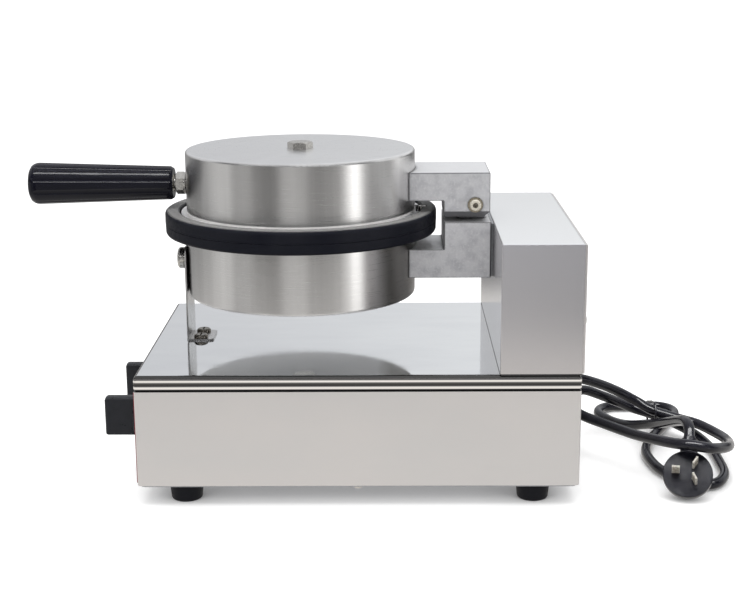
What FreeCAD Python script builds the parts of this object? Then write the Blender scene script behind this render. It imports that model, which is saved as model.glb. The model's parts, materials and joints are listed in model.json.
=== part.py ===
"""Counter-top waffle cone maker, built as the pieces it comes apart into.

Frame: millimetres, +Z up, z = 0 on the bench. x runs from the handle's free end (-) to the
end of the coiled power cord (+), y = 0 is the middle of the machine. The front of the machine,
with the knobs, faces -X, and the lid hinge is near +X.
"""
import FreeCAD, Part
import math
import os

vec = FreeCAD.Vector
UP = vec(0, 0, 1)
DOWN = vec(0, 0, -1)
TO_FRONT = vec(-1, 0, 0)
TO_REAR = vec(1, 0, 0)
ACROSS = vec(0, 1, 0)

# ---------------------------------------------------------------- driving dimensions
base_length = 360.0
base_width = 250.0
front = -206.0                      # x of the base's front face
deck_top = 110.5                    # height of the deck above the bench
foot_height = 15.8
sheet = 1.2                         # stainless sheet thickness
bottom_sheet = 1.2
gap = 0.1                           # assembly gap between pieces that only touch

head_x = front + 130.0              # centre of the two round heating heads
drum_radius = 98.3
drum_wall = 1.5
lower_drum_bottom = deck_top + 41.7
upper_drum_top = deck_top + 166.7
plate_radius = 96.5                 # part of a plate that enters its drum
flange_radius = 103.0
parting = deck_top + 108.0          # height of the joint between the two plates
ring_outer = 116.8
ring_inner = 104.0
ring_bottom = deck_top + 96.2
ring_top = deck_top + 115.8

pivot_x = front + 278.7
pivot_z = deck_top + 122.3
hinge_half_width = 33.0
tongue_half_width = 13.0
pin_radius = 4.0

column_front = front + 294.4
column_top = deck_top + 106.8
cover_thickness = 2.0

handle_z = deck_top + 137.0
handle_tip = front - 104.0
handle_length = 124.7
handle_big_radius = 17.85
handle_small_radius = 14.25

knob_radius = 17.25
knob_length = 36.5
knob_z = 54.5
knob_y = 51.5                       # the two knobs sit at plus and minus this
shaft_radius = 3.0

cord_radius = 4.25
bolt_hex = 19.0                     # across the flats of the two centre bolts

# ---------------------------------------------------------------- worked-out places
rear = front + base_length
half_width = base_width / 2
housing_bottom = foot_height + bottom_sheet
skirt_bottom = deck_top - 12.2
housing_top = skirt_bottom - 0.8
drum_inner = drum_radius - drum_wall
lower_plate_bottom = parting - 15.2
lower_plate_top = parting - 0.3
upper_plate_bottom = parting + 0.3
upper_plate_top = parting + 15.5
flange_thickness = 5.7
wire_hole_z = deck_top + 71.5       # height of the wiring bore through the lower hinge block
upper_arm_z = deck_top + 137.5      # height of the bolts that hold the upper arm
overlay_thickness = 0.5


# ---------------------------------------------------------------- shape helpers
def box(x0, x1, y0, y1, z0, z1):
    return Part.makeBox(x1 - x0, y1 - y0, z1 - z0, vec(x0, y0, z0))


def cylinder(radius, start, direction, length):
    return Part.makeCylinder(radius, length, start, direction)


def tube(outer, inner, start, direction, length):
    return cylinder(outer, start, direction, length).cut(cylinder(inner, start, direction, length))


def place(shape, at, direction):
    """Turn a shape built along +Z so that it points along direction, and move it to at."""
    placed = shape.copy()
    placed.Placement = FreeCAD.Placement(at, FreeCAD.Rotation(UP, direction))
    return placed


def turned(outline, centre_x=head_x):
    """A solid turned about the vertical line at centre_x, from (radius, height) points."""
    points = [vec(centre_x + radius, 0, height) for radius, height in outline]
    wire = Part.makePolygon(points + [points[0]])
    return Part.Face(wire).revolve(vec(centre_x, 0, 0), UP, 360)


def turned_along(outline, at, direction):
    """A solid turned about a line through at, from (radius, distance) points."""
    points = [vec(radius, 0, distance) for radius, distance in outline]
    wire = Part.makePolygon(points + [points[0]])
    return place(Part.Face(wire).revolve(vec(0, 0, 0), UP, 360), at, direction)


def hexagon(across_flats, height):
    """A hexagonal prism along +Z with its upper corners chamfered."""
    corner = across_flats / math.sqrt(3)
    angles = [math.radians(60 * i) for i in range(7)]
    wire = Part.makePolygon([vec(corner * math.cos(a), corner * math.sin(a), 0) for a in angles])
    prism = Part.Face(wire).extrude(vec(0, 0, height))
    slope = (corner - across_flats / 2) * 1.2
    limit = [(0, 0), (corner + 1, 0), (corner + 1, height - slope * 0.6 - 0.5),
             (across_flats / 2 - 0.2, height), (0, height)]
    points = [vec(r, 0, z) for r, z in limit]
    cutter = Part.Face(Part.makePolygon(points + [points[0]])).revolve(vec(0, 0, 0), UP, 360)
    return prism.common(cutter)


def hex_bolt(seat, into, shank_radius, shank_length, across_flats, head_height):
    """A bolt whose head stands on seat and whose shank runs along into."""
    head = place(hexagon(across_flats, head_height), seat, into * -1)
    return head.fuse(cylinder(shank_radius, seat, into, shank_length)).removeSplitter()


def hex_nut(seat, away, bore, across_flats, height):
    nut = place(hexagon(across_flats, height), seat, away)
    return nut.cut(cylinder(bore, seat, away, height))


def pan_screw(seat, into, shank_radius, shank_length, head_radius, head_height):
    """A cross-recessed screw with a domed head standing on seat."""
    head = Part.makeCylinder(head_radius, head_height)
    rim = [e for e in head.Edges if abs(e.BoundBox.ZMin - head_height) < 1e-6]
    head = head.makeFillet(head_height * 0.7, rim)
    arm = head_radius * 0.62
    slot = head_radius * 0.11
    depth = head_height * 0.45
    for dx, dy in ((arm, slot), (slot, arm)):
        recess = box(-dx, dx, -dy, dy, head_height - depth, head_height + 1)
        head = head.cut(recess)
    shank = Part.makeCylinder(shank_radius, shank_length, vec(0, 0, 0), DOWN)
    return place(head.fuse(shank).removeSplitter(), seat, into * -1)


def rounded(shape, radius, wanted):
    """Round the edges of a shape for which wanted(bounding box of the edge) is true."""
    edges = [e for e in shape.Edges if wanted(e.BoundBox)]
    return shape.makeFillet(radius, edges)


def is_upright(b):
    return b.ZLength > 5 and b.XLength < 1e-3 and b.YLength < 1e-3


def is_upright_short(b):
    return b.ZLength > 0.5 and b.XLength < 1e-3 and b.YLength < 1e-3


def rounded_path(points, bend):
    """A wire through straight runs joined by arcs, each at most bend in radius."""
    edges = []
    last = points[0]
    for before, corner, after in zip(points, points[1:], points[2:]):
        towards, onwards = (before - corner), (after - corner)
        half_angle = towards.getAngle(onwards) / 2
        reach = min(bend / math.tan(half_angle), 0.47 * towards.Length, 0.47 * onwards.Length)
        towards.normalize()
        onwards.normalize()
        start, end = corner + towards * reach, corner + onwards * reach
        middle_way = towards + onwards
        middle_way.normalize()
        arc_radius = reach * math.tan(half_angle)
        middle = corner + middle_way * (arc_radius / math.sin(half_angle) - arc_radius)
        edges.append(Part.LineSegment(last, start).toShape())
        edges.append(Part.Arc(start, middle, end).toShape())
        last = end
    edges.append(Part.LineSegment(last, points[-1]).toShape())
    return Part.Wire(edges)


def cable(waypoints, radius, bend):
    """A round lead along a path with rounded corners."""
    points = [vec(*p) for p in waypoints]
    section = Part.Circle(points[0], points[1] - points[0], radius)
    return rounded_path(points, bend).makePipeShell([Part.Wire(section.toShape())], True, False)


def group(shapes):
    return Part.makeCompound(shapes)


def cut_all(shape, tools):
    for tool in tools:
        shape = shape.cut(tool)
    return shape


# ---------------------------------------------------------------- base
foot_places = [(front + 37.4, -104), (front + 37.4, 104), (front + 324, -104), (front + 324, 104)]
bottom_screw_places = [(front + 180, -118.5), (front + 180, 118.5),
                       (front + 9, -70), (front + 9, 70), (rear - 9, -70), (rear - 9, 70)]
bracket_screw_y = (-10.2, 10.2)
bracket_x = front + 30.2
bracket_thickness = 1.4
bracket_screw_x = front + 40.7
deck_opening = (column_front + 14, rear - 16, -45, 45)
column_screw_places = [(column_front + 7, -80), (column_front + 7, 80), (rear - 20, -100), (rear - 20, 100)]
grommet_y = 22.0
grommet_z = 64.0


def make_skirt_grooves():
    """Round-bottomed tools that press one line along each side of the deck's skirt."""
    radius = 1.1
    depth = 0.4
    z = deck_top - 7.6
    out = half_width + radius - depth
    front_x = front - radius + depth
    rear_x = rear + radius - depth
    return [cylinder(radius, vec(front - 1, -out, z), TO_REAR, base_length + 2),
            cylinder(radius, vec(front - 1, out, z), TO_REAR, base_length + 2),
            cylinder(radius, vec(front_x, -half_width - 1, z), ACROSS, 2 * half_width + 2),
            cylinder(radius, vec(rear_x, -half_width - 1, z), ACROSS, 2 * half_width + 2)]


def make_deck_plate():
    tray = box(front, rear, -half_width, half_width, skirt_bottom, deck_top)
    tray = rounded(tray, 2.2, is_upright)
    tray = rounded(tray, 3.6, lambda b: b.ZMin > deck_top - 0.01)
    tray = rounded(tray, 1.9, lambda b: b.ZMax < skirt_bottom + 0.01)
    inside = box(front + sheet, rear - sheet, sheet - half_width, half_width - sheet,
                 skirt_bottom - 1, deck_top - sheet)
    inside = rounded(inside, 1.0, is_upright)
    inside = rounded(inside, 2.4, lambda b: b.ZMin > deck_top - sheet - 0.01)
    holes = [box(*deck_opening, deck_top - 3, deck_top + 1)]
    holes += make_skirt_grooves()
    holes += [cylinder(2.2, vec(bracket_screw_x, y, deck_top - 3), UP, 5) for y in bracket_screw_y]
    holes += [cylinder(2.7, vec(x, y, deck_top - 3), UP, 5) for x, y in column_screw_places]
    return cut_all(tray.cut(inside), holes)


def make_base_housing():
    """Four walls with an inward flange below and a joggle that enters the deck's skirt."""
    shell = box(front, rear, -half_width, half_width, housing_bottom, housing_top)
    shell = rounded(shell, 2.2, is_upright)
    shell = rounded(shell, 1.0, lambda b: b.ZMax < housing_bottom + 0.01)
    flange = 12.0
    cavity = box(front + sheet, rear - sheet, sheet - half_width, half_width - sheet,
                 housing_bottom + sheet, housing_top + 1)
    mouth = box(front + flange, rear - flange, flange - half_width, half_width - flange,
                housing_bottom - 1, housing_top + 1)
    shell = shell.cut(cavity).cut(mouth)

    def band(inset, thickness, z0, z1):
        outer = box(front + inset, rear - inset, inset - half_width, half_width - inset, z0, z1)
        deep = inset + thickness
        inner = box(front + deep, rear - deep, deep - half_width, half_width - deep, z0 - 1, z1 + 1)
        return outer.cut(inner)

    joggle = band(1.5, 1.0, housing_top - 1, deck_top - 4.5)
    bridge = band(1.0, 1.5, housing_top - 4, housing_top)
    shell = shell.fuse(bridge).fuse(joggle).removeSplitter()
    holes = [cylinder(5.2, vec(front - 1, y, knob_z), TO_REAR, 6) for y in (-knob_y, knob_y)]
    holes += [cylinder(lamp_radius, vec(front - 1, y, lamp_z), TO_REAR, 6) for y in lamp_y]
    holes += [cylinder(8.2, vec(rear - 6, grommet_y, grommet_z), TO_REAR, 8)]
    holes += [cylinder(1.7, vec(x, y, housing_bottom - 1), UP, 4) for x, y in bottom_screw_places]
    return cut_all(shell, holes)


def make_bottom_plate():
    plate = box(front + 2, rear - 2, 2 - half_width, half_width - 2, foot_height, housing_bottom - gap / 10)
    plate = rounded(plate, 4.0, lambda b: b.ZLength > 1 and b.XLength < 1e-3 and b.YLength < 1e-3)
    holes = [cylinder(2.0, vec(x, y, foot_height - 1), UP, 4) for x, y in bottom_screw_places]
    holes += [cylinder(2.7, vec(x, y, foot_height - 1), UP, 4) for x, y in foot_places]
    for row in (-1, 1):
        for i in range(9):
            x = front + 120 + 12 * i
            y = row * 45
            slot = box(x - 1.5, x + 1.5, y - 18, y + 18, foot_height - 1, foot_height + 3)
            holes.append(rounded(slot, 1.45, is_upright_short))
    return cut_all(plate, holes)


def make_rubber_feet():
    outline = [(0, foot_height - gap / 10), (14.3, foot_height - gap / 10), (14.2, foot_height - 1.2),
               (12.9, 1.6), (12.3, 0.5), (11.4, 0), (8.5, 0), (8.0, 1.0), (7.0, 3.4), (0, 3.4)]
    feet = []
    for x, y in foot_places:
        foot = turned_along(outline, vec(x, y, 0), UP)
        foot = foot.cut(cylinder(2.6, vec(x, y, 0), UP, foot_height))
        feet.append(foot.cut(cylinder(5.6, vec(x, y, 0), UP, 6.8)))
    return group(feet)


def make_foot_screws():
    """Each foot is held by a screw from below and a nut above the bottom plate."""
    pieces = []
    for x, y in foot_places:
        pieces.append(pan_screw(vec(x, y, 6.7), UP, 2.4, 18.0, 4.6, 2.6))
        pieces.append(hex_nut(vec(x, y, housing_bottom + gap), UP, 2.45, 8.0, 3.6))
    return group(pieces)


def make_bottom_screws():
    return group([pan_screw(vec(x, y, foot_height - gap / 10), UP, 1.65, 7.0, 3.6, 2.4)
                  for x, y in bottom_screw_places])


lamp_radius = 4.6
lamp_z = 80.0
lamp_y = (-14.0, 14.0)


def make_front_overlay():
    """Printed dial panel: thin plastic sheet with raised tick marks around both knobs."""
    top = housing_top - 1.5
    plate = box(front - overlay_thickness, front - gap / 10, 2.5 - half_width, half_width - 2.5,
                housing_bottom + 2.5, top)
    plate = rounded(plate, 3.0, lambda b: b.XLength > 0.3 and b.YLength < 1e-3 and b.ZLength < 1e-3)
    holes = [cylinder(5.6, vec(front - 2, y, knob_z), TO_REAR, 6) for y in (-knob_y, knob_y)]
    holes += [cylinder(lamp_radius + 0.2, vec(front - 2, y, lamp_z), TO_REAR, 6) for y in lamp_y]
    return cut_all(plate, holes)


def make_indicator_lamps():
    lamps = []
    for y in lamp_y:
        lens = Part.makeCylinder(6.0, 1.6)
        lens = rounded(lens, 1.0, lambda b: b.ZMin > 1.5)
        lens = lens.fuse(Part.makeCylinder(4.3, 22, vec(0, 0, 0), DOWN))
        seat = vec(front - overlay_thickness - gap / 10, y, lamp_z)
        lamps.append(place(lens.removeSplitter(), seat, TO_FRONT))
    return group(lamps)


# ---------------------------------------------------------------- rear column
hinge_bolt_places = [(y, z) for y in (-20.0, 20.0) for z in (deck_top + 68.5, deck_top + 95.5)]
cover_screw_places = [(-110.0, deck_top + 42), (110.0, deck_top + 42),
                      (-62.0, deck_top + 98), (62.0, deck_top + 98)]


def make_column_housing():
    """Folded box, open to the rear and below, with inward flanges for its cover and the deck."""
    floor = deck_top + gap / 10
    outer = box(column_front, rear, -half_width, half_width, floor, column_top)
    outer = rounded(outer, 1.3, lambda b: b.XMax < column_front + 0.01 or b.ZMin > column_top - 0.01)
    inner = box(column_front + sheet, rear + 1, sheet - half_width, half_width - sheet,
                floor - 1, column_top - sheet)
    shell = outer.cut(inner)
    flange = 13.0
    rear_flange = box(rear - sheet, rear, sheet / 2 - half_width, half_width - sheet / 2,
                      floor, column_top - 0.6)
    rear_mouth = box(rear - 5, rear + 5, flange - half_width, half_width - flange,
                     floor + flange, column_top - flange)
    low_flange = box(column_front + 0.6, rear - 0.1, sheet / 2 - half_width, half_width - sheet / 2,
                     floor, floor + sheet)
    low_mouth = box(column_front + flange, rear - flange - 14, 22 - half_width, half_width - 22,
                    floor - 1, floor + 5)
    shell = shell.fuse(rear_flange.cut(rear_mouth)).fuse(low_flange).cut(low_mouth).removeSplitter()
    holes = [cylinder(10.0, vec(column_front - 1, 0, wire_hole_z), TO_REAR, 5)]
    holes += [cylinder(4.3, vec(column_front - 1, y, z), TO_REAR, 5) for y, z in hinge_bolt_places]
    holes += [cylinder(2.1, vec(rear - 4, y, z), TO_REAR, 6) for y, z in cover_screw_places]
    holes += [cylinder(2.7, vec(x, y, floor - 1), UP, 5) for x, y in column_screw_places]
    return cut_all(shell, holes)


def make_column_rear_cover():
    plate = box(rear + gap / 10, rear + cover_thickness, 1.5 - half_width, half_width - 1.5,
                deck_top + 1.0, column_top - 1.0)
    plate = rounded(plate, 0.6, lambda b: b.XMin > rear + cover_thickness - 0.01)
    holes = [cylinder(2.3, vec(rear - 1, y, z), TO_REAR, 6) for y, z in cover_screw_places]
    for i in range(7):
        y = 14.0 * (i - 3)
        slot = box(rear - 1, rear + 5, y - 1.6, y + 1.6, deck_top + 26, deck_top + 58)
        holes.append(rounded(slot, 1.55, lambda b: b.XLength > 5 and b.YLength < 1e-3 and b.ZLength < 1e-3))
    return cut_all(plate, holes)


def make_cover_screws():
    seat = rear + cover_thickness + gap / 10
    return group([pan_screw(vec(seat, y, z), TO_FRONT, 2.0, 8.0, 4.0, 1.9) for y, z in cover_screw_places])


def make_column_screws():
    """Screws from inside the column into nuts under the deck."""
    pieces = []
    seat = deck_top + sheet + gap
    for x, y in column_screw_places:
        pieces.append(pan_screw(vec(x, y, seat), DOWN, 2.4, 9.0, 4.6, 2.8))
        pieces.append(hex_nut(vec(x, y, deck_top - sheet - gap), DOWN, 2.45, 8.0, 3.6))
    return group(pieces)


def make_hinge_backing_plate():
    """Steel plate inside the column that spreads the load of the hinge bolts."""
    start = column_front + sheet + gap / 10
    plate = box(start, start + 4.0, -70, 70, deck_top + 56, deck_top + 103.5)
    plate = rounded(plate, 4.0, lambda b: b.XLength > 3 and b.YLength < 1e-3 and b.ZLength < 1e-3)
    holes = [cylinder(4.3, vec(start - 1, y, z), TO_REAR, 7) for y, z in hinge_bolt_places]
    holes.append(cylinder(10.0, vec(start - 1, 0, wire_hole_z), TO_REAR, 7))
    return cut_all(plate, holes)


# ---------------------------------------------------------------- hinge
lower_block_rear = front + 292.3
upper_block_rear = pivot_x + 12.5
arm_start = front + 222.0
knuckle_front = front + 252.5
tongue_radius = 13.5
slot_half_width = tongue_half_width + 0.4
slot_roof = pivot_z + 16.0
bush_radius = 6.0


def drum_clearance(z0, z1):
    """Cylinder that leaves a thin fitting gap around a drum."""
    return cylinder(drum_radius + gap, vec(head_x, 0, z0), UP, z1 - z0)


def make_lower_hinge_block():
    low, arm_top, top = deck_top + 59.5, deck_top + 84.0, deck_top + 107.3
    knuckle = box(knuckle_front, lower_block_rear, -hinge_half_width, hinge_half_width, low, top)
    arm = box(arm_start, knuckle_front + 1, -hinge_half_width, hinge_half_width, low, arm_top)
    body = knuckle.fuse(arm).removeSplitter()
    body = rounded(body, 1.0, is_upright)
    neck = box(pivot_x - tongue_radius, pivot_x + 9.0, -tongue_half_width, tongue_half_width,
               top - 2, pivot_z)
    tongue = cylinder(tongue_radius, vec(pivot_x, -tongue_half_width, pivot_z), ACROSS,
                      2 * tongue_half_width)
    body = body.fuse(neck).fuse(tongue).removeSplitter()
    holes = [cylinder(bush_radius, vec(pivot_x, -20, pivot_z), ACROSS, 40)]
    holes.append(cylinder(8.0, vec(arm_start - 5, 0, wire_hole_z), TO_REAR, 90))
    holes += [cylinder(4.05, vec(lower_block_rear - 24, y, z), TO_REAR, 30) for y, z in hinge_bolt_places]
    holes += [cylinder(4.05, vec(arm_start - 5, y, wire_hole_z), TO_REAR, 29) for y in arm_bolt_y]
    holes.append(drum_clearance(low - 1, top + 1))
    return cut_all(body, holes)


def make_upper_hinge_block():
    """Fork: closed web above, slot for the tongue open below and to the rear."""
    low, arm_low, top = deck_top + 111.5, deck_top + 125.8, deck_top + 149.5
    knuckle = box(knuckle_front, upper_block_rear, -hinge_half_width, hinge_half_width, low, top)
    arm = box(arm_start, knuckle_front + 1, -hinge_half_width, hinge_half_width, arm_low, top)
    body = knuckle.fuse(arm).removeSplitter()
    rear_low = [e for e in body.Edges
                if abs(e.BoundBox.XMax - upper_block_rear) < 0.01 and e.BoundBox.ZMax < low + 0.01]
    body = body.makeChamfer(5.0, rear_low)
    body = rounded(body, 1.0, lambda b: b.ZMin > top - 0.01)
    slot = box(pivot_x - 20, upper_block_rear + 1, -slot_half_width, slot_half_width, low - 1, slot_roof)
    holes = [slot, cylinder(pin_radius + 0.02, vec(pivot_x, -40, pivot_z), ACROSS, 80)]
    holes.append(cylinder(7.0, vec(arm_start - 5, 0, upper_arm_z), TO_REAR, pivot_x - 19 - arm_start + 5))
    holes += [cylinder(4.05, vec(arm_start - 5, y, upper_arm_z), TO_REAR, 31) for y in arm_bolt_y]
    holes.append(drum_clearance(low - 1, top + 1))
    return cut_all(body, holes)


def make_hinge_bushes():
    bushes = []
    for side in (-1, 1):
        start = vec(pivot_x, side * (tongue_half_width + 0.2), pivot_z)
        bushes.append(tube(bush_radius - 0.005, pin_radius + 0.05, start, ACROSS * -side, 12.0))
    return group(bushes)


def make_hinge_pin():
    """Plain pin with a domed, socketed head at each end; the heads sit on washers."""
    half = hinge_half_width + 1.3
    pin = cylinder(pin_radius, vec(pivot_x, -half, pivot_z), ACROSS, 2 * half)
    for side in (-1, 1):
        head = Part.makeCylinder(4.9, 2.4)
        head = rounded(head, 1.5, lambda b: b.ZMin > 2.3)
        socket = Part.makeCylinder(1.7, 2.0, vec(0, 0, 1.2))
        head = place(head.cut(socket), vec(pivot_x, side * half, pivot_z), ACROSS * side)
        pin = pin.fuse(head)
    return pin.removeSplitter()


def make_hinge_washers():
    washers = []
    for side in (-1, 1):
        start = vec(pivot_x, side * (hinge_half_width + 0.02), pivot_z)
        washer = tube(6.4, pin_radius + 0.05, start, ACROSS * side, 1.2)
        washers.append(washer)
    return group(washers)


def make_hinge_spacer():
    start = lower_block_rear + gap / 10
    plate = box(start, column_front - gap / 10, -hinge_half_width + 1.2, hinge_half_width - 1.2,
                deck_top + 60.7, deck_top + 106)
    holes = [cylinder(4.3, vec(start - 1, y, z), TO_REAR, 6) for y, z in hinge_bolt_places]
    holes.append(cylinder(9.0, vec(start - 1, 0, wire_hole_z), TO_REAR, 6))
    return cut_all(plate, holes)


def make_hinge_bolts():
    seat = column_front + sheet + 4.0 + gap
    return group([hex_bolt(vec(seat, y, z), TO_FRONT, 4.0, 26.0, 13.0, 5.3) for y, z in hinge_bolt_places])


arm_bolt_y = (-19.0, 19.0)
clamp_start = 89.0                  # distance of the arm clamp's flat face from the head's centre


def make_arm_clamp(z):
    """Block inside a drum, curved to its wall, that the arm bolts pull against."""
    block = box(head_x + clamp_start, head_x + drum_inner + 1, -27, 27, z - 8, z + 8)
    block = block.common(cylinder(drum_inner - gap, vec(head_x, 0, z - 20), UP, 40))
    holes = [cylinder(4.2, vec(head_x + 80, y, z), TO_REAR, 20) for y in arm_bolt_y]
    holes.append(cylinder(7.5, vec(head_x + 80, 0, z), TO_REAR, 20))
    return cut_all(block, holes)


def make_arm_bolts(z):
    seat = head_x + clamp_start - gap
    return group([hex_bolt(vec(seat, y, z), TO_REAR, 4.0, 26.0, 13.0, 5.3) for y in arm_bolt_y])


# ---------------------------------------------------------------- heating heads
def wall_holes(z, front_z, front_radius):
    """Holes through a drum's wall: arm bolts and wiring at the rear, one fastener in front."""
    holes = [cylinder(4.2, vec(head_x + 80, y, z), TO_REAR, 25) for y in arm_bolt_y]
    holes.append(cylinder(7.5, vec(head_x + 80, 0, z), TO_REAR, 25))
    holes.append(cylinder(front_radius, vec(head_x - 80, 0, front_z), TO_FRONT, 25))
    return holes


def make_drum(closed_end, open_end):
    """Spun drum: closed_end and open_end are heights, whichever way up it stands."""
    low, high = min(closed_end, open_end), max(closed_end, open_end)
    drum = cylinder(drum_radius, vec(head_x, 0, low), UP, high - low)
    drum = rounded(drum, 2.4, lambda b: abs(b.ZMin - closed_end) < 0.01 and abs(b.ZMax - closed_end) < 0.01)
    inward = 1 if open_end > closed_end else -1
    hollow_low = min(closed_end + inward * drum_wall, open_end + inward)
    hollow_high = max(closed_end + inward * drum_wall, open_end + inward)
    hollow = cylinder(drum_inner, vec(head_x, 0, hollow_low), UP, hollow_high - hollow_low)
    bolt_hole = cylinder(6.3, vec(head_x, 0, closed_end - 3), UP, 6)
    return cut_all(drum, [hollow, bolt_hole])


lug_x = head_x + 104.6              # vertical screw on the hinge side of the ring


def make_lower_plate():
    recess = 1.0
    body = turned([(0, lower_plate_bottom), (plate_radius - 0.4, lower_plate_bottom),
                   (plate_radius - 0.4, lower_plate_top - flange_thickness),
                   (flange_radius, lower_plate_top - flange_thickness), (flange_radius, lower_plate_top),
                   (95.0, lower_plate_top), (94.0, lower_plate_top - recess), (0, lower_plate_top - recess)])
    body = body.cut(box(head_x + 98.8, head_x + 110, -16, 16, lower_plate_bottom, parting + 5))
    return body.cut(cylinder(6.1, vec(head_x, 0, lower_plate_bottom - 1), UP, 9))


def make_upper_plate():
    recess = 1.0
    body = turned([(0, upper_plate_top), (plate_radius - 0.4, upper_plate_top),
                   (plate_radius - 0.4, upper_plate_bottom + flange_thickness),
                   (flange_radius, upper_plate_bottom + flange_thickness), (flange_radius, upper_plate_bottom),
                   (95.0, upper_plate_bottom), (94.0, upper_plate_bottom + recess),
                   (0, upper_plate_bottom + recess)])
    body = body.cut(box(head_x + 98.8, head_x + 110, -16, 16, parting - 5, upper_plate_top + 1))
    return body.cut(cylinder(6.1, vec(head_x, 0, upper_plate_top - 8), UP, 9))


def make_drip_ring():
    """Moulded black ring around the plates, with a shelf over the lower drum's rim."""
    shelf = lower_plate_top - flange_thickness - gap
    seam = ring_bottom + 9.0
    outline = [(drum_radius + 0.3, ring_bottom), (ring_outer - 2.4, ring_bottom),
               (ring_outer - 1.0, ring_bottom + 0.5),
               (ring_outer - 0.3, ring_bottom + 1.8), (ring_outer - 0.1, seam - 0.35), (ring_outer - 0.5, seam),
               (ring_outer, seam + 0.35), (ring_outer, ring_top - 2.6), (ring_outer - 0.5, ring_top - 1.2),
               (ring_outer - 1.5, ring_top - 0.4), (ring_outer - 2.8, ring_top), (ring_inner + 1.6, ring_top),
               (ring_inner + 0.5, ring_top - 0.5), (ring_inner, ring_top - 1.6), (ring_inner, shelf),
               (drum_radius + 0.3, shelf)]
    ring = turned(outline)
    lug = cylinder(ring_inner + 3, vec(head_x, 0, ring_bottom), UP, ring_top - 4.5 - ring_bottom)
    lug = lug.cut(cylinder(drum_radius + 2.2, vec(head_x, 0, ring_bottom - 1), UP, 40))
    lug = lug.common(box(head_x + 90, head_x + 120, -13, 13, ring_bottom, ring_top))
    ring = ring.fuse(lug).removeSplitter()
    ring = ring.cut(cylinder(4.4, vec(lug_x, 0, ring_top - 4.5), UP, 10))
    return ring.cut(cylinder(2.6, vec(lug_x, 0, ring_bottom - 1), UP, 30))


def make_ring_screw():
    """Screw down through the ring's lug, and the nut under it."""
    seat = ring_top - 4.5 + gap
    head = Part.makeCylinder(3.6, 4.6)
    head = rounded(head, 0.8, lambda b: b.ZMin > 4.5)
    head = head.cut(Part.makeCylinder(1.6, 3, vec(0, 0, 2.4)))
    screw = head.fuse(Part.makeCylinder(2.4, 20.5, vec(0, 0, 0), DOWN)).removeSplitter()
    nut = hex_nut(vec(lug_x, 0, ring_bottom - gap), DOWN, 2.45, 7.0, 3.4)
    return group([place(screw, vec(lug_x, 0, seat), UP), nut])


element_radius = 62.0
element_tube = 4.0
inner_disc_radius = 80.0
press_thickness = 3.0


def make_heating_element(side, plate_face):
    """Tubular ring pressed on the back of a plate, with two terminals turned away from it."""
    centre_z = plate_face - side * (element_tube + gap)
    start, sweep = 12.0, 336.0
    spine = Part.Circle(vec(head_x, 0, centre_z), UP, element_radius)
    arc = Part.Arc(spine, math.radians(start), math.radians(start + sweep)).toShape()
    first = arc.valueAt(arc.FirstParameter)
    section = Part.Wire(Part.Circle(first, arc.tangentAt(arc.FirstParameter), element_tube).toShape())
    ring = Part.Wire(arc).makePipeShell([section], True, False)
    for angle in (start, start + sweep):
        foot = vec(head_x + element_radius * math.cos(math.radians(angle)),
                   element_radius * math.sin(math.radians(angle)), centre_z)
        ring = ring.fuse(Part.makeSphere(element_tube, foot))
        ring = ring.fuse(cylinder(element_tube - 0.6, foot, UP * -side, 13.0))
    return ring.removeSplitter()


def terminal_holes(z0, z1):
    angle = math.radians(12.0)
    x = head_x + element_radius * math.cos(angle)
    y = element_radius * math.sin(angle)
    return [cylinder(4.6, vec(x, side * y, z0), UP, z1 - z0) for side in (-1, 1)]


def make_disc(z0, z1, radius):
    disc = cylinder(radius, vec(head_x, 0, z0), UP, z1 - z0)
    holes = [cylinder(6.4, vec(head_x, 0, z0 - 1), UP, z1 - z0 + 2)]
    return cut_all(disc, holes + terminal_holes(z0 - 1, z1 + 1))


lower_press_top = lower_plate_bottom - 2 * (element_tube + gap)
upper_press_bottom = upper_plate_top + 2 * (element_tube + gap)


def make_lower_press_plate():
    return make_disc(lower_press_top - press_thickness, lower_press_top, inner_disc_radius)


def make_upper_press_plate():
    return make_disc(upper_press_bottom, upper_press_bottom + press_thickness, inner_disc_radius)


def make_lower_insulation():
    return make_disc(lower_drum_bottom + drum_wall + 1, lower_drum_bottom + drum_wall + 17, inner_disc_radius)


def make_upper_insulation():
    return make_disc(upper_drum_top - drum_wall - 17, upper_drum_top - drum_wall - 1, inner_disc_radius)


def make_top_bolt():
    length = upper_drum_top - (upper_plate_top - 7)
    return hex_bolt(vec(head_x, 0, upper_drum_top + gap / 10), DOWN, 6.0, length, bolt_hex, 5.6)


def make_lower_head_bolt():
    length = lower_plate_bottom + 7 - lower_drum_bottom
    return hex_bolt(vec(head_x, 0, lower_drum_bottom - gap / 10), UP, 6.0, length, bolt_hex, 6.0)


# ---------------------------------------------------------------- front bracket
bracket_bolt_z = deck_top + 71.0
bracket_top = deck_top + 84.0


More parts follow.
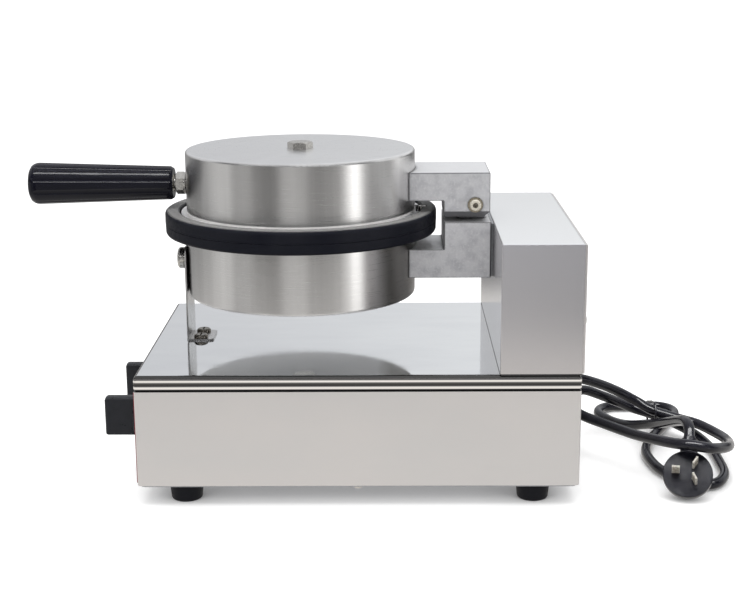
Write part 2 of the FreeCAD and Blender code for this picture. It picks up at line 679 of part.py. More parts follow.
def make_front_bracket():
    """Strip that props the front of the lower drum on the deck."""
    half = 22.0
    strip = box(bracket_x, bracket_x + bracket_thickness, -half, half, deck_top + gap / 10, bracket_top)
    foot = box(bracket_x, bracket_x + 22.0, -16, 16, deck_top + gap / 10, deck_top + 1.5)
    foot = rounded(foot, 4.0, lambda b: is_upright_short(b) and b.XMin > bracket_x + 20)
    bracket = strip.fuse(foot).removeSplitter()
    bend = [e for e in bracket.Edges
            if e.BoundBox.XMax < bracket_x + 0.01 and e.BoundBox.ZMax < deck_top + 0.1
            and e.BoundBox.YLength > 20]
    bracket = bracket.makeFillet(1.2, bend)
    corners = [e for e in bracket.Edges
               if e.BoundBox.ZMin > bracket_top - 0.01 and e.BoundBox.XLength > 1
               and e.BoundBox.YLength < 0.01]
    bracket = bracket.makeFillet(5.0, corners)
    holes = [cylinder(2.3, vec(bracket_screw_x, y, deck_top - 1), UP, 5) for y in bracket_screw_y]
    holes.append(cylinder(3.2, vec(bracket_x - 1, 0, bracket_bolt_z), TO_REAR, 5))
    return cut_all(bracket, holes)


def make_bracket_screws():
    pieces = []
    for y in bracket_screw_y:
        seat = vec(bracket_screw_x, y, deck_top + 1.5 + gap / 10)
        pieces.append(pan_screw(seat, DOWN, 2.1, 8.0, 6.2, 3.2))
        pieces.append(hex_nut(vec(bracket_screw_x, y, deck_top - sheet - gap), DOWN, 2.15, 7.0, 3.2))
    return group(pieces)


def make_bracket_bolt():
    """Button-head bolt with a thick washer in front of the strip and a nut inside the drum."""
    washer_front = bracket_x - 3.0
    washer = tube(8.0, 3.1, vec(bracket_x - gap / 10, 0, bracket_bolt_z), TO_FRONT, 2.9)
    head = Part.makeCylinder(9.3, 5.4)
    head = rounded(head, 2.4, lambda b: b.ZMin > 5.3)
    head = head.cut(place(hexagon(5.0, 3.0), vec(0, 0, 2.6), UP))
    bolt = head.fuse(Part.makeCylinder(3.0, 17.0, vec(0, 0, 0), DOWN)).removeSplitter()
    bolt = place(bolt, vec(washer_front, 0, bracket_bolt_z), TO_FRONT)
    nut = hex_nut(vec(head_x - drum_inner + 1.2, 0, bracket_bolt_z), TO_REAR, 3.05, 10.0, 5.0)
    return group([washer, bolt, nut])


# ---------------------------------------------------------------- handle
def make_handle_grip():
    """Tapered, fluted moulding with a domed free end; outline runs from the free end inwards."""
    slope = (handle_big_radius - handle_small_radius) / (handle_length - 8.0)
    outline = [(0, 0), (9.0, 0.25), (13.0, 1.1), (15.6, 2.6), (17.0, 4.6), (17.7, 6.8),
               (handle_big_radius, 9.0)]
    outline += [(handle_small_radius + slope * 2.5, handle_length - 2.5),
                (handle_small_radius - 1.4, handle_length),
                (0, handle_length)]
    grip = turned_along(outline, vec(handle_tip, 0, handle_z), TO_REAR)
    flute_count, flute_radius, flute_depth = 10, 4.2, 0.85
    for i in range(flute_count):
        angle = math.radians(360 / flute_count * (i + 0.5))
        start_r = handle_big_radius + flute_radius - flute_depth * 0.6
        end_r = handle_small_radius + flute_radius - flute_depth * 1.2
        start = vec(handle_tip + 3, start_r * math.cos(angle), handle_z + start_r * math.sin(angle))
        end = vec(handle_tip + handle_length + 3, end_r * math.cos(angle), handle_z + end_r * math.sin(angle))
        grip = grip.cut(cylinder(flute_radius, start, end - start, (end - start).Length))
    bore_start = vec(handle_tip + handle_length + 1, 0, handle_z)
    return grip.cut(cylinder(8.0, bore_start, TO_FRONT, 37.0))


def make_handle_insert():
    """Brass thread insert moulded into the small end of the grip."""
    start = vec(handle_tip + handle_length - 0.4, 0, handle_z)
    return tube(7.95, 5.05, start, TO_FRONT, 35.0)


def make_handle_stud():
    inner_end = head_x - drum_radius + 13.0
    start = handle_tip + handle_length - 33.0
    return cylinder(5.0, vec(start, 0, handle_z), TO_REAR, inner_end - start)


def make_handle_nuts():
    """Jam nut and washer outside the drum, one nut inside it."""
    wall = head_x - drum_radius
    washer = tube(9.5, 5.2, vec(wall - 0.6, 0, handle_z), TO_FRONT, 1.6)
    jam = hex_nut(vec(wall - 2.3, 0, handle_z), TO_FRONT, 5.05, 17.0, 6.6)
    inner = hex_nut(vec(wall + drum_wall + 1.6, 0, handle_z), TO_REAR, 5.05, 17.0, 5.0)
    return group([washer, jam, inner])


# ---------------------------------------------------------------- controls
def make_knob(y):
    """Round skirt with a bar grip across it, hollow behind for the fixing nut."""
    face = front - overlay_thickness - 0.9
    skirt = cylinder(knob_radius, vec(face, y, knob_z), TO_FRONT, 11.0)
    bar = cylinder(knob_radius - 0.1, vec(face, y, knob_z), TO_FRONT, knob_length)
    bar = bar.common(box(face - knob_length, face, y - 6.5, y + 6.5, knob_z - 20, knob_z + 20))
    bar_front = face - knob_length
    bar = bar.makeFillet(2.6, [e for e in bar.Edges if e.BoundBox.XMax < bar_front + 0.01])
    skirt = skirt.makeFillet(1.6, [e for e in skirt.Edges if e.BoundBox.XMax < face - 10.9])
    knob = skirt.fuse(bar).removeSplitter()
    knob = knob.cut(cylinder(12.5, vec(face + 1, y, knob_z), TO_FRONT, 7.0))
    knob = knob.cut(cylinder(shaft_radius + 0.03, vec(face, y, knob_z), TO_FRONT, 24.0))
    pointer = box(bar_front - 1, bar_front + 0.6, y - 0.7, y + 0.7, knob_z + 4, knob_z + 20)
    return knob.cut(pointer)


def make_shaft(y):
    start = front + 22.0
    return cylinder(shaft_radius, vec(start, y, knob_z), TO_FRONT, 46.0)


def make_control_body(y, depth, half_y, half_z):
    """Switch body behind the panel with a threaded neck for the shaft."""
    back = front + 14.0
    body = box(back, back + depth, y - half_y, y + half_y, knob_z - half_z, knob_z + half_z)
    body = rounded(body, 2.0, lambda b: b.XLength > 10 and b.YLength < 1e-3 and b.ZLength < 1e-3)
    collar = cylinder(9.0, vec(back + 1, y, knob_z), TO_FRONT, 1.0 + 14.0 - sheet - 0.1)
    neck = cylinder(5.0, vec(back, y, knob_z), TO_FRONT, 14.0 + overlay_thickness + 4.2)
    body = body.fuse(collar).fuse(neck).removeSplitter()
    for i in (-1, 1):
        tab = box(back + depth - 1, back + depth + 8, y + i * 8 - 3, y + i * 8 + 3,
                  knob_z - 0.5, knob_z + 0.5)
        body = body.fuse(tab)
    bore = cylinder(shaft_radius + 0.05, vec(front + 23.0, y, knob_z), TO_FRONT, 40.0)
    return body.cut(bore).removeSplitter()


def make_control_nuts():
    return group([hex_nut(vec(front - overlay_thickness - gap / 10, y, knob_z), TO_FRONT, 5.05, 14.0, 3.0)
                  for y in (-knob_y, knob_y)])


# ---------------------------------------------------------------- wiring
terminal_centre = (rear - 70.0, -40.0)


def make_terminal_block():
    x, y = terminal_centre
    z0 = housing_bottom + gap
    block = box(x - 13, x + 13, y - 30, y + 30, z0, z0 + 14)
    holes = []
    for i in range(4):
        cell_y = y - 22.5 + 15 * i
        holes.append(box(x - 14, x - 4, cell_y - 5.5, cell_y + 5.5, z0 + 6, z0 + 15))
        holes.append(box(x + 4, x + 14, cell_y - 5.5, cell_y + 5.5, z0 + 6, z0 + 15))
    return cut_all(block, holes)


def make_cord_grip():
    """Moulded strain relief snapped into the rear wall."""
    wall_inner = rear - sheet
    bore = cord_radius + 0.3
    outline = [(bore, 0), (8.0, 0), (8.0, sheet + 0.4), (11.0, sheet + 0.4), (11.0, 4.5),
               (8.6, 6.0), (8.2, 14.0), (6.4, 16.5), (bore, 16.5)]
    grip = turned_along(outline, vec(wall_inner - 0.2, grommet_y, grommet_z), TO_REAR)
    inner = tube(10.0, bore, vec(wall_inner - 0.1, grommet_y, grommet_z), TO_FRONT, 4.0)
    return grip.fuse(inner).removeSplitter()


plug_tilt = math.radians(40.0)      # the plug lies back on its rim by this much
plug_turn = math.radians(12.2)      # and faces this far from straight across the machine
plug_face = vec(244.9, -109.8, 21.5)
plug_normal = vec(-math.sin(plug_turn) * math.cos(plug_tilt), -math.cos(plug_turn) * math.cos(plug_tilt),
                  math.sin(plug_tilt))
plug_upward = vec(math.sin(plug_turn) * math.sin(plug_tilt), math.cos(plug_turn) * math.sin(plug_tilt),
                  math.cos(plug_tilt))
plug_sideways = vec(math.cos(plug_turn), -math.sin(plug_turn), 0)
relief_root = plug_face - plug_normal * 9.0 + plug_upward * 15.0


def make_plug_body():
    """Round three-pin plug top with the cord leaving from its edge."""
    outline = [(0, 0), (19.6, 0), (20.3, -0.7), (20.3, -5.0), (19.6, -6.0), (17.6, -7.0), (15.5, -14.0),
               (12.5, -17.2), (0, -17.8)]
    body = turned_along(outline, plug_face, plug_normal)
    relief = [(0, 0), (7.6, 0), (7.4, 6.0)]
    for i in range(3):
        low = 7.0 + 4.4 * i
        wide = 7.2 - 0.4 * i
        relief += [(wide, low), (wide, low + 2.6), (wide - 1.3, low + 2.8), (wide - 1.3, low + 4.2)]
    relief += [(4.9, 21.0), (0, 21.0)]
    body = body.fuse(turned_along(relief, relief_root, plug_upward)).removeSplitter()
    cord_bore = cylinder(cord_radius + 0.2, relief_root + plug_upward * 8.0, plug_upward, 30)
    body = body.cut(cord_bore)
    return cut_all(body, [blade(*b, 0.04, 12.5, 1.0) for b in blade_places])


# Each blade: distance along plug_sideways, along plug_upward, and its turn about the normal.
blade_places = [(-9.8, 0.5, 90.0), (5.5, 7.4, -30.0), (5.5, -6.4, 30.0)]


def blade(side, upward, turn, grow, inside, outside):
    """Flat contact blade, 6.3 by 1.6, reaching inside and outside of the plug's face."""
    half_w, half_t = 3.15 + grow, 0.8 + grow
    flat = box(-half_t, half_t, -half_w, half_w, -inside, outside)
    if grow == 0:
        flat = flat.makeChamfer(0.5, [e for e in flat.Edges if e.BoundBox.ZMin > outside - 0.01])
    flat.Placement = FreeCAD.Placement(vec(0, 0, 0), FreeCAD.Rotation(UP, turn))
    axes = FreeCAD.Matrix(plug_sideways.x, plug_upward.x, plug_normal.x, 0,
                          plug_sideways.y, plug_upward.y, plug_normal.y, 0,
                          plug_sideways.z, plug_upward.z, plug_normal.z, 0, 0, 0, 0, 1)
    at = plug_face + plug_sideways * side + plug_upward * upward
    flat.Placement = FreeCAD.Placement(at, FreeCAD.Placement(axes).Rotation).multiply(flat.Placement)
    return flat


def make_plug_blades():
    return group([blade(*b, 0, 12.0, 15.0) for b in blade_places])


# Way of the mains cord: out of the grip, over the coil to its right-hand end, back across the
# plug, round behind the machine, through the tie to the loop on the bench, round the small
# loop, and up into the side-entry plug.
coil_end_x = 305.75
coil_far_y = 123.75
cord_path = [
    (rear - 14, grommet_y, grommet_z), (178, grommet_y, grommet_z), (230, 54, 31), (262, 32, 23),
    (coil_end_x - 8, 14, 19), (coil_end_x, -2, 19), (coil_end_x, -38, 23), (287, -78, 32.5),
    (253, -109, 43.5),
    (227, -76, 38.5), (196, -22, 33), (168, 2, 36), (163.5, 36, 42), (200, 58, 36), (233, 84, 18),
    (262, 46, 13), (288, 20, 6), (289, -40, 5), (284, -84, 5), (262, -97, 5), (232, -58, 5),
    (227, -15, 5), (240, 28, 5), (270, 84, 5), (274, coil_far_y - 8, 5), (256, coil_far_y, 5),
    (214, coil_far_y, 5), (198, 104, 5), (216, 60, 6), (236, 28, 18), (248, -26, 42)]
cord_path += [tuple(relief_root + plug_upward * along) for along in (32.0, 9.5)]


def make_cord_tie():
    """Wire tie bent round the two upper strands where the coil is bundled; its ends meet below."""
    x = 244.0
    around = [(50, 12.5), (37, 17), (30, 27), (38, 35), (56, 31), (78, 24), (82, 13), (70, 7), (53, 10.5)]
    return cable([(x, y, z) for y, z in around], 0.9, 5.0)


def make_lower_heater_leads():
    """Two leads from the lower element, through the hinge block's bore, down the column."""
    solids = []
    angle = math.radians(12.0)
    for side in (-1, 1):
        x = head_x + element_radius * math.cos(angle)
        y = side * element_radius * math.sin(angle)
        low = lower_plate_bottom - element_tube - 14.5
        path = [(x, y, low), (x + 3, y, low - 4), (head_x + 80, side * 4, wire_hole_z),
                (head_x + 100, side * 3.5, wire_hole_z), (lower_block_rear, side * 3.5, wire_hole_z),
                (column_front + 12, side * 3.5, wire_hole_z - 2),
                (column_front + 26, side * 3.5, wire_hole_z - 22),
                (column_front + 28, side * 3.5, deck_top + 20),
                (column_front + 28, side * 4, deck_top - 30),
                (terminal_centre[0] + 10, terminal_centre[1] + side * 7.5, 56),
                (terminal_centre[0] + 10, terminal_centre[1] + side * 7.5, 33)]
        solids.append(cable(path, 1.6, 8.0))
    return group(solids)


def make_upper_heater_leads():
    """Two leads from the upper element through the arm's bore into the fork's slot."""
    solids = []
    angle = math.radians(12.0)
    for side in (-1, 1):
        x = head_x + element_radius * math.cos(angle)
        y = side * element_radius * math.sin(angle)
        high = upper_plate_top + element_tube + 14.5
        path = [(x, y, high), (x + 3, y, high + 2), (head_x + 80, side * 3.5, upper_arm_z),
                (head_x + 100, side * 3.0, upper_arm_z), (pivot_x - 22, side * 3.0, upper_arm_z)]
        solids.append(cable(path, 1.6, 8.0))
    return group(solids)


def make_nodes():
    return {
        "deck_plate": make_deck_plate(),
        "base_housing": make_base_housing(),
        "bottom_plate": make_bottom_plate(),
        "bottom_screws": make_bottom_screws(),
        "rubber_feet": make_rubber_feet(),
        "foot_screws": make_foot_screws(),
        "front_overlay": make_front_overlay(),
        "indicator_lamps": make_indicator_lamps(),
        "column_housing": make_column_housing(),
        "column_rear_cover": make_column_rear_cover(),
        "cover_screws": make_cover_screws(),
        "column_screws": make_column_screws(),
        "hinge_backing_plate": make_hinge_backing_plate(),
        "hinge_bolts": make_hinge_bolts(),
        "hinge_spacer": make_hinge_spacer(),
        "lower_hinge_block": make_lower_hinge_block(),
        "hinge_bushes": make_hinge_bushes(),
        "hinge_pin": make_hinge_pin(),
        "hinge_washers": make_hinge_washers(),
        "upper_hinge_block": make_upper_hinge_block(),
        "lower_arm_clamp": make_arm_clamp(wire_hole_z),
        "upper_arm_clamp": make_arm_clamp(upper_arm_z),
        "lower_arm_bolts": make_arm_bolts(wire_hole_z),
        "upper_arm_bolts": make_arm_bolts(upper_arm_z),
        "lower_shell": cut_all(make_drum(lower_drum_bottom, lower_plate_top - flange_thickness - gap),
                               wall_holes(wire_hole_z, bracket_bolt_z, 3.2)),
        "upper_shell": cut_all(make_drum(upper_drum_top, upper_plate_bottom + flange_thickness + gap),
                               wall_holes(upper_arm_z, handle_z, 5.2)),
        "lower_plate": make_lower_plate(),
        "upper_plate": make_upper_plate(),
        "drip_ring": make_drip_ring(),
        "ring_screw": make_ring_screw(),
        "lower_heating_element": make_heating_element(1, lower_plate_bottom),
        "upper_heating_element": make_heating_element(-1, upper_plate_top),
        "lower_press_plate": make_lower_press_plate(),
        "upper_press_plate": make_upper_press_plate(),
        "lower_insulation": make_lower_insulation(),
        "upper_insulation": make_upper_insulation(),
        "top_bolt": make_top_bolt(),
        "lower_head_bolt": make_lower_head_bolt(),
        "front_bracket": make_front_bracket(),
        "bracket_screws": make_bracket_screws(),
        "bracket_bolt": make_bracket_bolt(),
        "handle_grip": make_handle_grip(),
        "handle_insert": make_handle_insert(),
        "handle_stud": make_handle_stud(),
        "handle_nuts": make_handle_nuts(),
        "temperature_knob": make_knob(knob_y),
        "timer_knob": make_knob(-knob_y),
        "thermostat_shaft": make_shaft(knob_y),
        "timer_shaft": make_shaft(-knob_y),
        "thermostat_body": make_control_body(knob_y, 34.0, 17.0, 20.0),
        "timer_body": make_control_body(-knob_y, 40.0, 20.0, 22.0),
        "control_nuts": make_control_nuts(),
        "terminal_block": make_terminal_block(),
        "lower_heater_leads": make_lower_heater_leads(),
        "upper_heater_leads": make_upper_heater_leads(),
        "cord_grip": make_cord_grip(),
        "power_cord": cable(cord_path, cord_radius, 16.0),
        "cord_tie": make_cord_tie(),
        "plug_body": make_plug_body(),
        "plug_blades": make_plug_blades(),
    }


os.makedirs("parts", exist_ok=True)
for name, shape in make_nodes().items():
    shape.exportStep(os.path.join("parts", name + ".step"))
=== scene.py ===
"""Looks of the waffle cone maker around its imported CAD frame.

Procedural materials for every CAD node, a smooth mains cord, waffle grids in the baking plates,
the printing on the front panel, and a plain studio. Lengths are in metres.
"""

import json
import math

import bmesh
import bpy
from mathutils import Matrix, Vector

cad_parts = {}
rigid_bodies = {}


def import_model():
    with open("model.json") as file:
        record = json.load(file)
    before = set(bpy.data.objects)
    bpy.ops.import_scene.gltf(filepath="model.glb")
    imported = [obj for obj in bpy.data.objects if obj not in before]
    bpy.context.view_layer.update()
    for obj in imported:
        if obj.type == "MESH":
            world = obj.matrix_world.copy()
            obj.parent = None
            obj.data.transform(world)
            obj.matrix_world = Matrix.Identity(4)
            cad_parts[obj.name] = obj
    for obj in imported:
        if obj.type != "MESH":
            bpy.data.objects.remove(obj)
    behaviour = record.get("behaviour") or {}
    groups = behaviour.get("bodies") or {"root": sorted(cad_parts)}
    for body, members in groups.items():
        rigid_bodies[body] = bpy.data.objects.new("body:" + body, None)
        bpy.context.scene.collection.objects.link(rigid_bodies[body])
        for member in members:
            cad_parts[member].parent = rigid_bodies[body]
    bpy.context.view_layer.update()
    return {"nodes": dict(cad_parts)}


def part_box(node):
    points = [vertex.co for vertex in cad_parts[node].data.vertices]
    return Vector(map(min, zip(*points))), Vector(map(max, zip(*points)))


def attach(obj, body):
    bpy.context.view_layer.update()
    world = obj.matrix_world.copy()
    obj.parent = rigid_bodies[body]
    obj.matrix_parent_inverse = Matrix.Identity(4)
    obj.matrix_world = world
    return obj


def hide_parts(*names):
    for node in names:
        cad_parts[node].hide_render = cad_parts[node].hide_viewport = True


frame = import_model()

MM = 0.001
MICRON = 0.000001


def middle_of(node_name):
    low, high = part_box(node_name)
    return (low + high) / 2


# Places taken from the frame
HEAD_X = middle_of("upper_shell").x
UPPER_SHELL_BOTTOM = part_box("upper_shell")[0].z
DECK_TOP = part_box("deck_plate")[1].z
HOUSING_SEAM = DECK_TOP - 13.4 * MM
COLUMN_SEAM = DECK_TOP + 1.3 * MM
COLUMN_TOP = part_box("column_housing")[1].z
COVER_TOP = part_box("column_rear_cover")[1].z + 0.2 * MM
HINGE_AXIS = middle_of("hinge_pin")

# Painted reflections and painted shade down the deck's skirt: greys by depth below the deck in
# millimetres for the rolled edge, upper crest highlight, pressed line, lower crest highlight and dark seam
SKIRT_PAINTED_LIGHT = [
    (0.0, 0.07), (0.9, 0.09), (2.0, 0.16), (3.2, 0.40), (3.9, 1.0), (4.9, 0.95), (5.4, 0.26),
    (6.3, 0.09), (7.5, 0.07), (8.5, 0.14), (9.3, 0.97), (10.5, 0.95), (11.2, 0.20), (12.2, 0.03),
]

# Waffle grid
GRID_PITCH = 11.0 * MM
GRID_HALF_WIDTH = 1.7 * MM
GRID_DEPTH = 1.5 * MM
GRID_REACH = 91.0 * MM
PLATE_RECESS = 1.0 * MM

# Mains cord: its path in millimetres, from the rear wall through the coil to the plug
CORD_RADIUS = 4.5 * MM
CORD_SIDES = 20
CORD_STEPS = 7
CORD_PATH = [
    (140, 22, 64), (158, 22, 64), (173, 23, 63), (193, 35, 54), (212, 47, 43), (229, 50, 33),
    (242, 42, 27), (255, 36, 24), (266, 31, 22), (280, 23, 20), (290, 6, 19), (296, -17, 20),
    (294, -43, 24), (284, -76, 32.5), (268, -99, 39.5), (255, -106, 43.5), (245, -104, 44.5),
    (236, -93, 42), (225, -74, 38.5), (213, -51, 34.5), (201, -31, 33), (188, -13, 33),
    (174, 0, 35), (165, 13, 38), (164, 33, 42), (178, 47, 45), (198, 58, 36), (215, 70, 26),
    (230, 76, 18), (243, 71, 15), (256, 56, 14), (270, 41, 11), (282, 25, 7), (288, -2, 5),
    (288, -33, 5), (286, -63, 5), (279, -82, 5), (269, -91, 5), (257, -88, 5), (243, -76, 5),
    (233, -56, 5), (229, -37, 5), (228, -17, 5), (231, 2, 5), (239, 25, 5), (249, 45, 5),
    (264, 75, 5), (274, 96, 5), (274, 111, 5), (265, 121, 5), (250, 123, 5), (234, 122, 5),
    (218, 122, 5), (206, 114, 5), (202, 100, 5), (207, 83, 5), (216, 66, 6), (225, 49, 10),
    (234, 33, 16), (242, 12, 24), (247, -14, 34), (250, -40, 44), (251.5, -60, 50),
    (252, -73, 49), (251, -81, 42), (249.7, -87.6, 34.5),
]

# Printing on the front panel
BORDER_WIDTH = 1.2 * MM
PRINT_PROUD = 0.12 * MM
PRINT_SUNK = 0.02 * MM
TICK_GAP = 2.0 * MM
TICK_LENGTH = 2.2 * MM
TICK_WIDTH = 0.7 * MM
TICK_THICKNESS = 0.08 * MM
NUMBER_GAP = 7.4 * MM
NUMBER_HEIGHT = 4.2 * MM
NUMBER_HALF_THICKNESS = 0.04 * MM
TEMPERATURE_LABELS = ["0", "50", "100", "150", "200", "250", "300"]
TEMPERATURE_SWEEP = 270
TIMER_LABELS = ["0", "1", "2", "3", "4", "5"]
TIMER_SWEEP = 300

# Camera, in metres and degrees
CAMERA_PLACE = Vector((0.0009, -1.2251, 0.4400))
CAMERA_YAW = 0.68
CAMERA_PITCH = -13.48
CAMERA_ROLL = 0.37
CAMERA_LENS = 68.85
CAMERA_SENSOR = 36
CAMERA_SHIFT = (0.0016, -0.0013)
CAMERA_CLIP_END = 200

# Studio. Only reflections see the bands: brightness by compass direction in degrees, nought
# towards the camera and rising to the right. Within NEAR_FLOOR of the machine the floor
# reflects evenly, beyond FAR_FLOOR it carries the bands.
NEAR_FLOOR = 0.54
FAR_FLOOR = 0.75
FLOOR_REACH = 60.0
STUDIO_BANDS = [
    (-180, 0.28), (-150, 0.30), (-120, 0.32), (-98, 0.42), (-82, 0.72), (-72, 0.72), (-64, 0.38),
    (-51, 0.46), (-43, 0.14), (-20, 0.09), (-15, 0.56), (4, 0.44), (15, 0.18), (34, 0.22),
    (45, 0.38), (49, 0.9), (54, 1.9), (60, 2.35), (64, 1.3), (69, 0.64), (80, 0.46), (104, 0.38),
    (115, 1.1), (126, 0.75), (134, 0.12), (146, 0.05), (160, 0.34), (180, 0.28),
]
NEAR_FLOOR_COLOUR = (0.84, 0.82, 0.80)
CEILING_LEFT_COLOUR = (0.72, 0.73, 0.755)
CEILING_RIGHT_COLOUR = (0.87, 0.885, 0.905)
DARK_ROOM_COLOUR = (0.10, 0.10, 0.105)
SOFTBOX_COLOUR = (2.6, 2.6, 2.65)
DAYLIGHT = 0.85
PAPER_GREY = 0.74
PAPER_GLOW = 0.56
CONTACT_REACH = 0.035
LIGHT_AIM = (0, 0, 0.15)
LINE_LIGHT_PLACE = (0.0, -0.42, 1.25)
LINE_LIGHT_AIM = (0.0, 0.0, 0.2)
LINE_LIGHT_LENGTH = 2.4


# ---------------------------------------------------------------- shader nodes

def rgba(colour):
    return (*colour, 1.0)


class Nodes:
    """Short ways to add and wire the shader nodes of one tree."""

    def __init__(self, tree):
        self.nodes = tree.nodes
        self.links = tree.links

    def add(self, kind, **settings):
        node = self.nodes.new("ShaderNode" + kind)
        for key, value in settings.items():
            setattr(node, key, value)
        return node

    def feed(self, socket, value):
        """Links value to socket if it comes from a node, else sets it."""
        if isinstance(value, bpy.types.NodeSocket):
            self.links.new(value, socket)
        else:
            socket.default_value = value

    def math(self, operation, a, b=0.0):
        node = self.add("Math", operation=operation)
        self.feed(node.inputs[0], a)
        self.feed(node.inputs[1], b)
        return node.outputs[0]

    def split(self, vector):
        """The three parts of a vector."""
        node = self.add("SeparateXYZ")
        self.feed(node.inputs[0], vector)
        return tuple(node.outputs)

    def length(self, a, b):
        """Length of the sloping side over a and b."""
        squares = self.math("ADD", self.math("MULTIPLY", a, a), self.math("MULTIPLY", b, b))
        return self.math("SQRT", squares)

    def between(self, value, low, high, start=0.3, end=0.7, interpolation="LINEAR"):
        """Maps value from start..end onto low..high and stops there."""
        node = self.add("MapRange", interpolation_type=interpolation)
        self.feed(node.inputs["Value"], value)
        self.feed(node.inputs["From Min"], start)
        self.feed(node.inputs["From Max"], end)
        self.feed(node.inputs["To Min"], low)
        self.feed(node.inputs["To Max"], high)
        return node.outputs[0]

    def rise(self, value, start, end):
        """Nought before start, one after end, with a soft step between."""
        return self.between(value, 0.0, 1.0, start, end, "SMOOTHSTEP")

    def fall(self, value, start, end):
        return self.between(value, 1.0, 0.0, start, end, "SMOOTHSTEP")

    def mix(self, factor, a, b):
        """Blends two colours."""
        node = self.add("Mix", data_type="RGBA")
        self.feed(node.inputs["Factor"], factor)
        self.feed(node.inputs["A"], a)
        self.feed(node.inputs["B"], b)
        return node.outputs["Result"]

    def mix_shaders(self, factor, a, b):
        node = self.add("MixShader")
        for socket, value in zip(node.inputs, (factor, a, b)):
            self.feed(socket, value)
        return node.outputs[0]

    def ramp(self, value, stops):
        """Colour that follows value; stops pair a value with a colour, rising."""
        low, high = stops[0][0], stops[-1][0]
        node = self.add("ValToRGB")
        elements = node.color_ramp.elements
        while len(elements) < len(stops):
            elements.new(0.5)
        for element, (place, colour) in zip(elements, stops):
            element.position = (place - low) / (high - low)
            element.color = rgba(colour)
        self.feed(node.inputs[0], self.between(value, 0.0, 1.0, low, high))
        return node.outputs["Color"]


class Surface(Nodes):
    """One material being built: a Principled shader and short ways to add procedural detail."""

    def __init__(self, name, colour, roughness, metallic=0.0, **inputs):
        self.material = bpy.data.materials.new(name)
        self.material.use_nodes = True
        self.material.diffuse_color = rgba(colour)
        super().__init__(self.material.node_tree)
        self.shader = self.nodes["Principled BSDF"]
        coordinates = self.add("TexCoord")
        self.place = coordinates.outputs["Object"]
        self.facing = coordinates.outputs["Normal"]
        self.x, self.y, self.height = self.split(self.place)
        self.facing_up = self.split(self.facing)[2]
        self.colour = rgba(colour)
        self.normal = None
        self.set("Base Color", self.colour)
        self.set("Metallic", metallic)
        self.set("Roughness", roughness)
        for key, value in inputs.items():
            self.set(key.replace("_", " "), value)

    def set(self, name, value):
        self.feed(self.shader.inputs[name], value)
        return self

    def around(self, rings, turns):
        """Texture place that runs in circles round the upright axis of the heating heads."""
        x = self.math("SUBTRACT", self.x, HEAD_X)
        join = self.add("CombineXYZ")
        self.feed(join.inputs[0], self.math("MULTIPLY", self.length(x, self.y), rings))
        self.feed(join.inputs[1], self.math("MULTIPLY", self.height, rings))
        self.feed(join.inputs[2], self.math("MULTIPLY", self.math("ARCTAN2", self.y, x), turns))
        return join.outputs[0]

    def distance_from_head(self):
        """Distance from the upright axis of the heating heads."""
        return self.length(self.math("SUBTRACT", self.x, HEAD_X), self.y)

    def distance_from_hinge(self):
        """Distance from the axis of the lid's hinge."""
        x = self.math("SUBTRACT", self.x, HINGE_AXIS.x)
        z = self.math("SUBTRACT", self.height, HINGE_AXIS.z)
        return self.length(x, z)

    def noise(self, scale, detail=4.0, stretch=(1, 1, 1), place=None):
        """Cloudy noise; scale is in features per metre, stretch makes it directional."""
        mapping = self.add("Mapping")
        self.feed(mapping.inputs["Scale"], stretch)
        self.feed(mapping.inputs["Vector"], place or self.place)
        node = self.add("TexNoise")
        self.feed(node.inputs["Scale"], scale)
        self.feed(node.inputs["Detail"], detail)
        self.feed(node.inputs["Vector"], mapping.outputs[0])
        return node.outputs["Fac"]

    def roughen(self, value, low, high):
        return self.set("Roughness", self.between(value, low, high))

    def cover(self, factor, colour):
        """Mixes colour over the base colour."""
        self.colour = self.mix(factor, self.colour, colour)
        return self.set("Base Color", self.colour)

    def tint(self, value, colour, amount, start=0.35, end=0.65):
        """Covers with colour where value is near end, and not at all where it is near start."""
        return self.cover(self.between(value, 0.0, amount, start, end), rgba(colour))

    def bump(self, value, height, strength=1.0):
        """Adds relief of the given height."""
        node = self.add("Bump")
        self.feed(node.inputs["Distance"], height)
        self.feed(node.inputs["Strength"], strength)
        self.feed(node.inputs["Height"], value)
        if self.normal is not None:
            self.feed(node.inputs["Normal"], self.normal)
        self.normal = node.outputs["Normal"]
        return self.set("Normal", self.normal)

    def openness(self, reach):
        """One where nothing stands within reach of the surface, nought deep in a gap."""
        shelter = self.add("AmbientOcclusion", samples=6)
        self.feed(shelter.inputs["Distance"], reach)
        return shelter.outputs["AO"]

    def edge(self, radius):
        """High on a sharp edge, falling to nought about radius away from it."""
        bevel = self.add("Bevel", samples=4)
        self.feed(bevel.inputs["Radius"], radius)
        dot = self.add("VectorMath", operation="DOT_PRODUCT")
        self.feed(dot.inputs[0], bevel.outputs[0])
        self.feed(dot.inputs[1], self.add("NewGeometry").outputs["Normal"])
        return self.math("SUBTRACT", 1.0, dot.outputs["Value"])

    def off_axis(self):
        """Nought on faces square to the frame, rising on the rounded edges between them."""
        x, y, z = (self.math("ABSOLUTE", part) for part in self.split(self.facing))
        return self.math("SUBTRACT", 1.0, self.math("MAXIMUM", x, self.math("MAXIMUM", y, z)))

    # Painted shade: darkens gaps and creases where shade falls
    def paint_gap_shade(self):
        return self.tint(self.openness(5 * MM), (0.02, 0.02, 0.022), 0.95, 0.76, 0.48)


# ---------------------------------------------------------------- steel sheet

